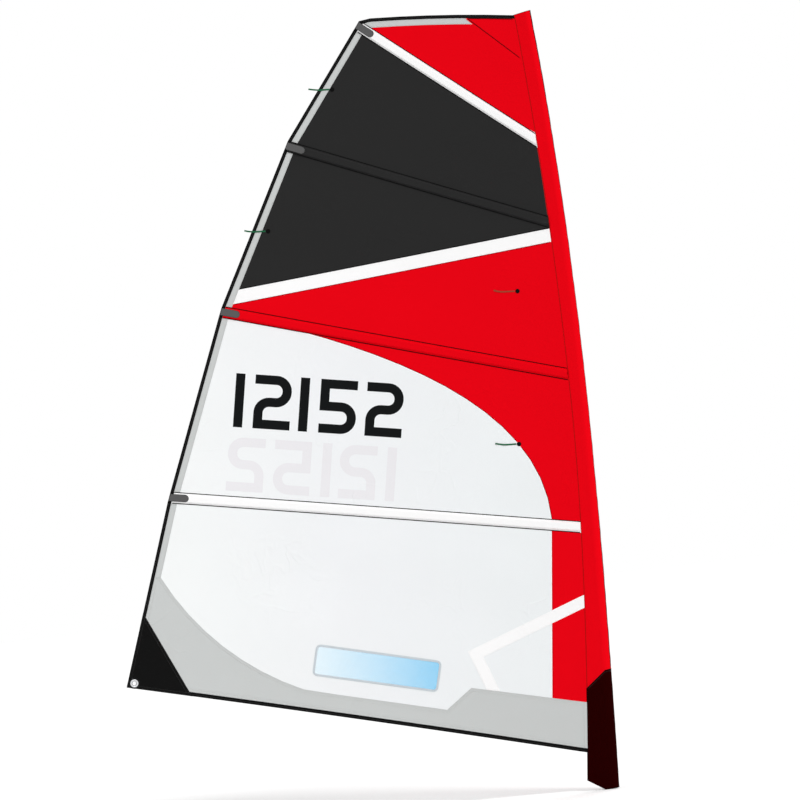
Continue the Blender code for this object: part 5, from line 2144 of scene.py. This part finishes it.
@dataclass
class SeamRow:
    """A row of zigzag stitches along a line, or the flat edge strip that lies under one."""

    name: str
    line: Line
    ground: object
    closed: bool = False
    covers: Sequence[Cover] = ()
    swing: float = 0.0015
    pitch: float = 0.0045
    radius: float = 0.0003
    strip_step: float = 0.01
    strip_thickness: float = 0.00012
    shortest: float = 0.015
    thread_width: float = 1.8

    def marks(self, count: int) -> list[tuple[Vector, Vector]]:
        """Even places along the line.

        Args:
            count: How many equal steps there are.
        Returns:
            The places, each with the way to its left.
        """
        corners = self.line + self.line[:1] if self.closed else self.line
        runs = [(b - a).length for a, b in zip(corners, corners[1:])]
        total, marks, at, passed = sum(runs), [], 0, 0.0
        for i in range(count + 1):
            reach = total * i / count
            while at < len(runs) - 1 and passed + runs[at] < reach:
                passed += runs[at]
                at += 1
            way = (corners[at + 1] - corners[at]) / max(runs[at], 1e-9)
            place = corners[at] + way * min(runs[at], reach - passed)
            marks.append((place, Vector((-way.y, way.x))))
        return marks

    def length(self) -> float:
        """The line's length."""
        corners = self.line + self.line[:1] if self.closed else self.line
        return sum((b - a).length for a, b in zip(corners, corners[1:]))

    def sweep(self, kind: str, count: int, section: Sequence[Point], swing: float,
              degrees: float, finish: Finish) -> None:
        """Sweeps a closed section along the line, wherever no layer hides it.

        Args:
            kind: The end of the piece's name.
            count: Steps along the line.
            section: The section's points, as (to the left, off the ground).
            swing: How far each step lies aside, to the left and the right by turns.
            degrees: The angle up to which edges are shaded smooth.
            finish: The piece's finish.
        """
        name = f"{self.name}_{kind}"
        spots, free = [], []
        for i, (flat, left) in enumerate(self.marks(count)):
            middle = flat + left * (swing if i % 2 else -swing)
            spots.append([self.ground.spot(middle + left * x, height) for x, height in section])
            free.append(not any(cover.hides(flat) for cover in self.covers))
        sides, runs, start = len(section), [], None
        for i, shown in enumerate(free + [False]):
            if shown and start is None:
                start = i
            elif not shown and start is not None:
                if (i - 1 - start) * self.length() / count > self.shortest:
                    runs.append((start, i - 1))
                start = None
        pieces = []
        for first, last in runs:
            def place(along: float, around: float, first: int = first, last: int = last) -> Vector:
                """The point at a share of the way along the run and round the section."""
                return spots[first + round(along * (last - first))][round(around * sides) % sides]

            pieces.append(mapped_grid(name, last - first, sides, place))
        if not pieces:
            return
        piece = joined(name, pieces)
        with editing(piece):
            bpy.ops.mesh.remove_doubles(threshold=1e-7)
            bpy.ops.mesh.fill_holes(sides=sides)
            bpy.ops.mesh.normals_make_consistent(inside=False)
        smooth(piece, degrees)
        dress(piece, finish)

    def stitch(self, thread: ClothFinish) -> None:
        """The thread, as a thin tube that swings from side to side.

        Args:
            thread: The thread's finish.
        """
        count = max(2, round(self.length() / self.pitch)) * 2
        wide, height = self.thread_width * self.radius, self.strip_thickness
        low, high = height - self.radius, height + 2 * self.radius
        section = ((-wide, height), (0.0, low), (wide, height), (0.0, high))
        self.sweep("stitches", count, section, self.swing, 60, thread)

    def strip(self, width: float, finish: ClothFinish, middle: float = 0.0, bends: int = 1) -> None:
        """A thin strip along the line.

        Args:
            width: Its width.
            finish: Its finish.
            middle: How far to the left of the line its middle lies.
            bends: Faces across it, more where the ground is round.
        """
        count = max(2, round(self.length() / self.strip_step))
        across = [middle + width * (i / bends - 0.5) for i in range(bends + 1)]
        section = [(x, 0.0) for x in across] + [(x, self.strip_thickness) for x in reversed(across)]
        self.sweep("edge", count, section, 0.0, 30, finish)


HEAD_STEPS = 12
HEAD_CROWN = tuple((-0.641 + 0.581 * s, 3.293 - 0.060 * s + 4 * 0.008 * s * (1 - s))
                   for s in (i / HEAD_STEPS for i in range(1, HEAD_STEPS)))


@dataclass(frozen=True)
class OutlineRow:
    """A row that follows a cloth piece's outline on both faces."""

    node: str
    thread: ClothFinish
    inset: float = 0.003
    second: float = 0.0
    strip: float = 0.0
    edge: Optional[ClothFinish] = None


FINE_EDGE = (0.0024, 0.0, 0.0016, DARK_RED_TAPE)
PALE_EDGE = (0.0024, 0.0, 0.0040, WHITE_TAPE)


@dataclass
class Stitching:
    """Every row of stitches, each shown only where no layer hides it."""

    outlines: tuple[OutlineRow, ...] = (
        OutlineRow("head_panel", DARK_RED_THREAD, *FINE_EDGE),
        OutlineRow("upper_panel", DARK_THREAD, 0.0026, 0.0, 0.0034, DARK_THREAD),
        OutlineRow("diagonal_stripe", WHITE_THREAD),
        OutlineRow("red_panel", DARK_RED_THREAD, *FINE_EDGE),
        OutlineRow("number_panel", WHITE_THREAD, *PALE_EDGE),
        OutlineRow("luff_strip", DARK_RED_THREAD, 0.0024),
        OutlineRow("lower_panel", WHITE_THREAD, *PALE_EDGE),
        OutlineRow("edge_tabling", PALE_THREAD, 0.0028),
        OutlineRow("head_patch", DARK_RED_THREAD, 0.003, 0.0, 0.0028, DARK_RED_TAPE),
        OutlineRow("foot_patch", PALE_THREAD, 0.003, 0.012),
        OutlineRow("clew_patch", GREY_THREAD, 0.003, 0.012),
        OutlineRow("chevron_starboard", WHITE_THREAD),
        OutlineRow("chevron_port", WHITE_THREAD),
        OutlineRow("window_seam", WINDOW_THREAD, 0.0026),
    )
    margin: float = 0.003
    edge_gap: float = 0.0002
    shortest_outline: float = 0.13
    pocket_inset: float = 0.0023
    pocket_edges: tuple[tuple[ClothFinish, float], ...] = (
        (DARK_THREAD, 0.0036), (DARK_THREAD, 0.0024), (DARK_RED_TAPE, 0.0036),
        (DARK_THREAD, 0.0036))
    pocket_edge_out: float = 0.0006
    pocket_margin: float = 0.0015
    pocket_ends: Point = (0.004, 0.002)
    pocket_reach: float = 0.03
    pocket_ahead: float = 0.02
    seam_clear: float = 0.005
    cover_step: float = 0.05
    cover_steps: int = 67
    cover_fore: float = 1.0
    tape_inset: float = 0.007
    leech: tuple[Point, ...] = ((-1.964, 0.637), (-1.706, 1.390), (-1.396, 2.160),
                                (-1.040, 2.824), (-0.688, 3.287), (-0.641, 3.293), *HEAD_CROWN,
                                (-0.060, 3.233))
    foot: tuple[Point, ...] = ((-0.096, 0.149), (-1.964, 0.637))
    seam_inset: float = 0.0035
    seam_strip: float = 0.0018
    nose_strip: float = 0.020
    nose_steps: int = 90
    nose_ends: Point = (0.49, 0.002)
    nose_bends: int = 8
    seam_steps: int = 60
    seam_tails: Point = (-0.06, -0.1)
    seam_ends: Point = (0.002, 0.004)
    head_short: float = 0.003
    boot_inset: float = 0.007
    boot_steps: int = 80
    boot_ends: float = 0.04

    def __post_init__(self) -> None:
        """Starts with no covers worked out."""
        self.known_covers: dict[tuple[Face, float], list[Cover]] = {}

    def covers(self, face: Face, level: float) -> list[Cover]:
        """The layers that could hide a row at a level on a face.

        Args:
            face: The face.
            level: The row's level.
        Returns:
            The covers.
        """
        if (face, level) in self.known_covers:
            return self.known_covers[face, level]
        found = [Cover(tuple(moved_aside(loop, -self.margin) for loop in cut.loops))
                 for (node, side), cut in CUT_LINES.items()
                 if side is face and cut.level > level + SAME_LEVEL and cut.loops
                 and "pocket" not in node]
        if face is Face.STARBOARD and level < POCKET_ROOF:
            for number, band in POCKETS.items():
                aft, low = band.aft - self.pocket_reach, band.low - self.pocket_margin
                fore, high = band.fore + self.pocket_ahead, band.high + self.pocket_margin
                found.append(self.block(band.corner, (aft, low), (fore, high)))
                low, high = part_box(f"telltale_dot_{number}")
                found.append(self.block(lambda x, z: Vector((x, z)),
                                        (low.x - self.margin, low.z - self.margin),
                                        (high.x + self.margin, high.z + self.margin)))
        found.append(self.sleeve_cover())
        self.known_covers[face, level] = found
        return found

    def block(self, place: Placing, low: Point, high: Point) -> Cover:
        """A cover with four corners.

        Args:
            place: Gives a corner's (x, z) for two numbers.
            low: The numbers of the low aft corner.
            high: The numbers of the high fore corner.
        Returns:
            The cover.
        """
        (left, below), (right, above) = low, high
        corners = ((left, below), (right, below), (right, above), (left, above))
        return Cover(([place(*corner) for corner in corners],))

    def sleeve_cover(self) -> Cover:
        """What lies at the sleeve's seam or forward of it.

        Returns:
            The cover.
        """
        heights = [self.cover_step * i for i in range(self.cover_steps + 1)]
        seam = [Vector((LUFF.seam_x(z) - self.seam_clear, z)) for z in heights]
        ahead = self.cover_fore
        return Cover((seam + [Vector((ahead, heights[-1])), Vector((ahead, heights[0]))],))

    def outline_rows(self) -> None:
        """Rows just inside the outlines of the cloth pieces."""
        for row in self.outlines:
            for face in Face:
                cut = CUT_LINES[row.node, face]
                if cut.level <= 0:
                    continue
                ground, covers = ClothGround(face, cut.level), self.covers(face, cut.level)
                for number, inset in enumerate((row.inset, row.second)):
                    for i, loop in enumerate(cut.loops if inset else ()):
                        name = f"{row.node}_{face.name.lower()}_row_{number + 1}_{i + 1}"
                        seam = SeamRow(name, moved_aside(loop, inset), ground, True, covers)
                        if seam.length() < self.shortest_outline:
                            continue
                        seam.stitch(row.thread)
                        if row.edge:
                            line = moved_aside(loop, row.strip / 2 + self.edge_gap)
                            SeamRow(name, line, ground, True, covers).strip(row.strip, row.edge)

    def tape_rows(self) -> None:
        """A row along the middle of the tapes on the leech, the head and the foot."""
        for face in Face:
            ground, covers = ClothGround(face, LAYER_OUTER), self.covers(face, LAYER_OUTER)
            for name, points in (("leech", self.leech), ("foot", self.foot)):
                line = moved_aside([Vector(p) for p in points], -self.tape_inset, False)
                row = f"{name}_tape_{face.name.lower()}_row"
                SeamRow(row, line, ground, False, covers).stitch(GREY_THREAD)

    def pocket_rows(self) -> None:
        """Rows and dark edges along both sides of every pocket."""
        near, far = ClothGround(Face.STARBOARD, LAYER_OUTER), ClothGround(Face.PORT, CLOTH_FACE)
        covers = self.covers(Face.PORT, CLOTH_FACE)
        aft_end, fore_end = self.pocket_ends
        for (number, band), (edge, width) in zip(POCKETS.items(), self.pocket_edges):
            for name, across, side in (("upper", band.high, -1), ("lower", band.low, 1)):
                ends = [band.corner(band.aft + aft_end, across),
                        band.corner(band.fore - fore_end, across)]
                line = moved_aside(ends, side * self.pocket_inset, False)
                row = SeamRow(f"pocket_{number}_{name}", line, near)
                row.strip(width, edge, -side * self.pocket_edge_out)
                row.stitch(DARK_THREAD)
                back = SeamRow(f"pocket_{number}_{name}_back", line, far, False, covers)
                back.stitch(DARK_RED_THREAD if edge is DARK_RED_TAPE else DARK_THREAD)

    def sleeve_rows(self) -> None:
        """Rows on the sleeve's own skin: its seam, its leading edge and the boot's top."""
        sleeve = LuffSleeve()
        swell = sleeve.boot_swell
        head = sleeve.head_aft[1] - self.head_short
        (top_tail, mouth_tail), (above, apart) = self.seam_tails, self.seam_ends
        low, mouth = sleeve.boot_top(top_tail) + above, sleeve.mouth(mouth_tail) + apart
        for face in Face:
            for name, start, end, grow in (("seam", low, head, 0.0),
                                           ("boot_seam", mouth, low - apart, swell)):
                line = []
                for i in range(self.seam_steps + 1):
                    height = start + (end - start) * i / self.seam_steps
                    section = sleeve.section(height)
                    way = section.round_way + section.straight - self.seam_inset
                    line.append(Vector((-face.value * way, height)))
                ground = SleeveGround(sleeve, grow)
                row = SeamRow(f"sleeve_{name}_{face.name.lower()}", line, ground)
                if name == "seam":
                    aside = face.value * (self.seam_inset - self.seam_strip)
                    row.strip(self.seam_strip, SEAM_TAPE, aside)
                row.stitch(SLEEVE_THREAD if name == "seam" else DARK_THREAD)
        start, short = self.nose_ends
        reach = sleeve.head_fore[1] - short - start
        steps = self.nose_steps
        nose = [Vector((0.0, start + reach * i / steps)) for i in range(steps + 1)]
        edge = SeamRow("sleeve_leading_edge", nose, SleeveGround(sleeve))
        edge.strip(self.nose_strip, DARK_RED_TAPE, bends=self.nose_bends)
        top = []
        for i in range(self.boot_steps + 1):
            share = self.boot_ends + (1 - 2 * self.boot_ends) * i / self.boot_steps
            section = sleeve.cut_section(share, lambda x: sleeve.boot_top(x) - self.boot_inset)
            top.append(Vector((sleeve.way(section, share), section.height)))
        SeamRow("boot_top", top, SleeveGround(sleeve, swell)).stitch(GREY_THREAD)

    def build(self) -> None:
        """Makes the rows."""
        self.outline_rows()
        self.tape_rows()
        self.pocket_rows()
        self.sleeve_rows()


@dataclass
class Studio:
    """The floor, the light and the camera that sees what the photograph shows."""

    centre: tuple[float, float, float] = (-0.698, 0.05, 1.696)
    view_width: float = 3.336
    lens: float = 300.0
    sensor: float = 36.0
    roll: float = math.radians(6.545)
    floor_size: float = 60.0
    floor_grey: float = 0.86
    floor_roughness: float = 0.9
    floor_glow: float = 0.2
    ambient: float = 0.60
    key_way: tuple[float, float, float] = (-0.35, 0.62, -0.70)
    key_strength: float = 1.32
    key_spread: float = 12.0
    fill_way: tuple[float, float, float] = (-0.3, -0.75, -0.45)
    fill_strength: float = 0.8
    fill_spread: float = 40.0

    def camera(self) -> None:
        """A long lens square to the sail, rolled as the photograph is."""
        data = bpy.data.cameras.new("camera")
        data.type = "PERSP"
        data.lens = self.lens
        data.sensor_width = self.sensor
        data.clip_end = 200.0
        camera = bpy.data.objects.new("camera", data)
        bpy.context.scene.collection.objects.link(camera)
        right = Vector((math.cos(self.roll), 0, -math.sin(self.roll)))
        up = Vector((math.sin(self.roll), 0, math.cos(self.roll)))
        back = right.cross(up)
        distance = self.view_width * self.lens / self.sensor
        turn = Matrix((right, up, back)).transposed().to_4x4()
        camera.matrix_world = Matrix.Translation(Vector(self.centre) + back * distance) @ turn
        bpy.context.scene.camera = camera

    def sun(self, name: str, towards: tuple[float, float, float], strength: float,
            spread: float) -> None:
        """A broad soft lamp.

        Args:
            name: The lamp's name.
            towards: The way that its light goes.
            strength: Its strength.
            spread: Its angle in degrees, which softens its shadows.
        """
        data = bpy.data.lights.new(name, "SUN")
        data.energy = strength
        data.angle = math.radians(spread)
        lamp = bpy.data.objects.new(name, data)
        bpy.context.scene.collection.objects.link(lamp)
        lamp.rotation_euler = Vector(towards).to_track_quat("-Z", "Y").to_euler()

    def world(self) -> None:
        """An even white surround, full white where it is seen straight or in a reflection."""
        world = bpy.data.worlds.new("studio")
        bpy.context.scene.world = world
        world.use_nodes = True
        write = NodeWriter(world.node_tree)
        path = write.add("ShaderNodeLightPath").outputs
        seen = write.math("MAXIMUM", write.seen_straight(), path["Is Transmission Ray"])
        strength = write.math("MULTIPLY_ADD", seen, 1.0 - self.ambient, self.ambient)
        surround = {"Color": (1.0, 1.0, 1.0, 1.0), "Strength": strength}
        write.feed_all(world.node_tree.nodes["Background"], surround)

    def floor(self) -> None:
        """A plain pale floor just under the boot."""
        bpy.ops.object.select_all(action="DESELECT")
        bpy.ops.mesh.primitive_plane_add(size=self.floor_size, location=(0, 0, 0))
        piece = bpy.context.object
        piece.name = piece.data.name = "floor"
        piece.data.transform(Matrix.Translation((0, 0, CAD_BOX[0][2])))
        material = bpy.data.materials.new("pale_floor")
        material.use_nodes = True
        write = NodeWriter(material.node_tree)
        look = {"Base Color": (*[self.floor_grey] * 3, 1.0),
                "Roughness": self.floor_roughness,
                "Specular IOR Level": 0.0,
                "Emission Color": (1.0, 1.0, 1.0, 1.0),
                "Emission Strength": write.math("MULTIPLY", write.seen_straight(),
                                                self.floor_glow)}
        write.feed_all(material.node_tree.nodes["Principled BSDF"], look)
        piece.data.materials.append(material)
        piece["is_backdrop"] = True

    def build(self) -> None:
        """Makes the studio."""
        bpy.context.scene.view_settings.view_transform = "Standard"
        self.camera()
        self.world()
        self.floor()
        self.sun("key", self.key_way, self.key_strength, self.key_spread)
        self.sun("fill", self.fill_way, self.fill_strength, self.fill_spread)


def main() -> None:
    """Builds the studio and every sub-assembly in order."""
    logging.basicConfig(level=logging.INFO, format="%(message)s")
    for part in (Studio(), SailBody(), Window(), Reinforcement(), LuffSleeve(), BattenPockets(),
                 ClewEyelet(), SailNumber(), Telltales(), Stitching()):
        LOG.info("building %s", type(part).__name__)
        part.build()
    sizes = {"cad": CAD_BOX, "visual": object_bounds()}
    {name: [list(corner) for corner in box] for name, box in sizes.items()}


if __name__ == "__main__":
    main()
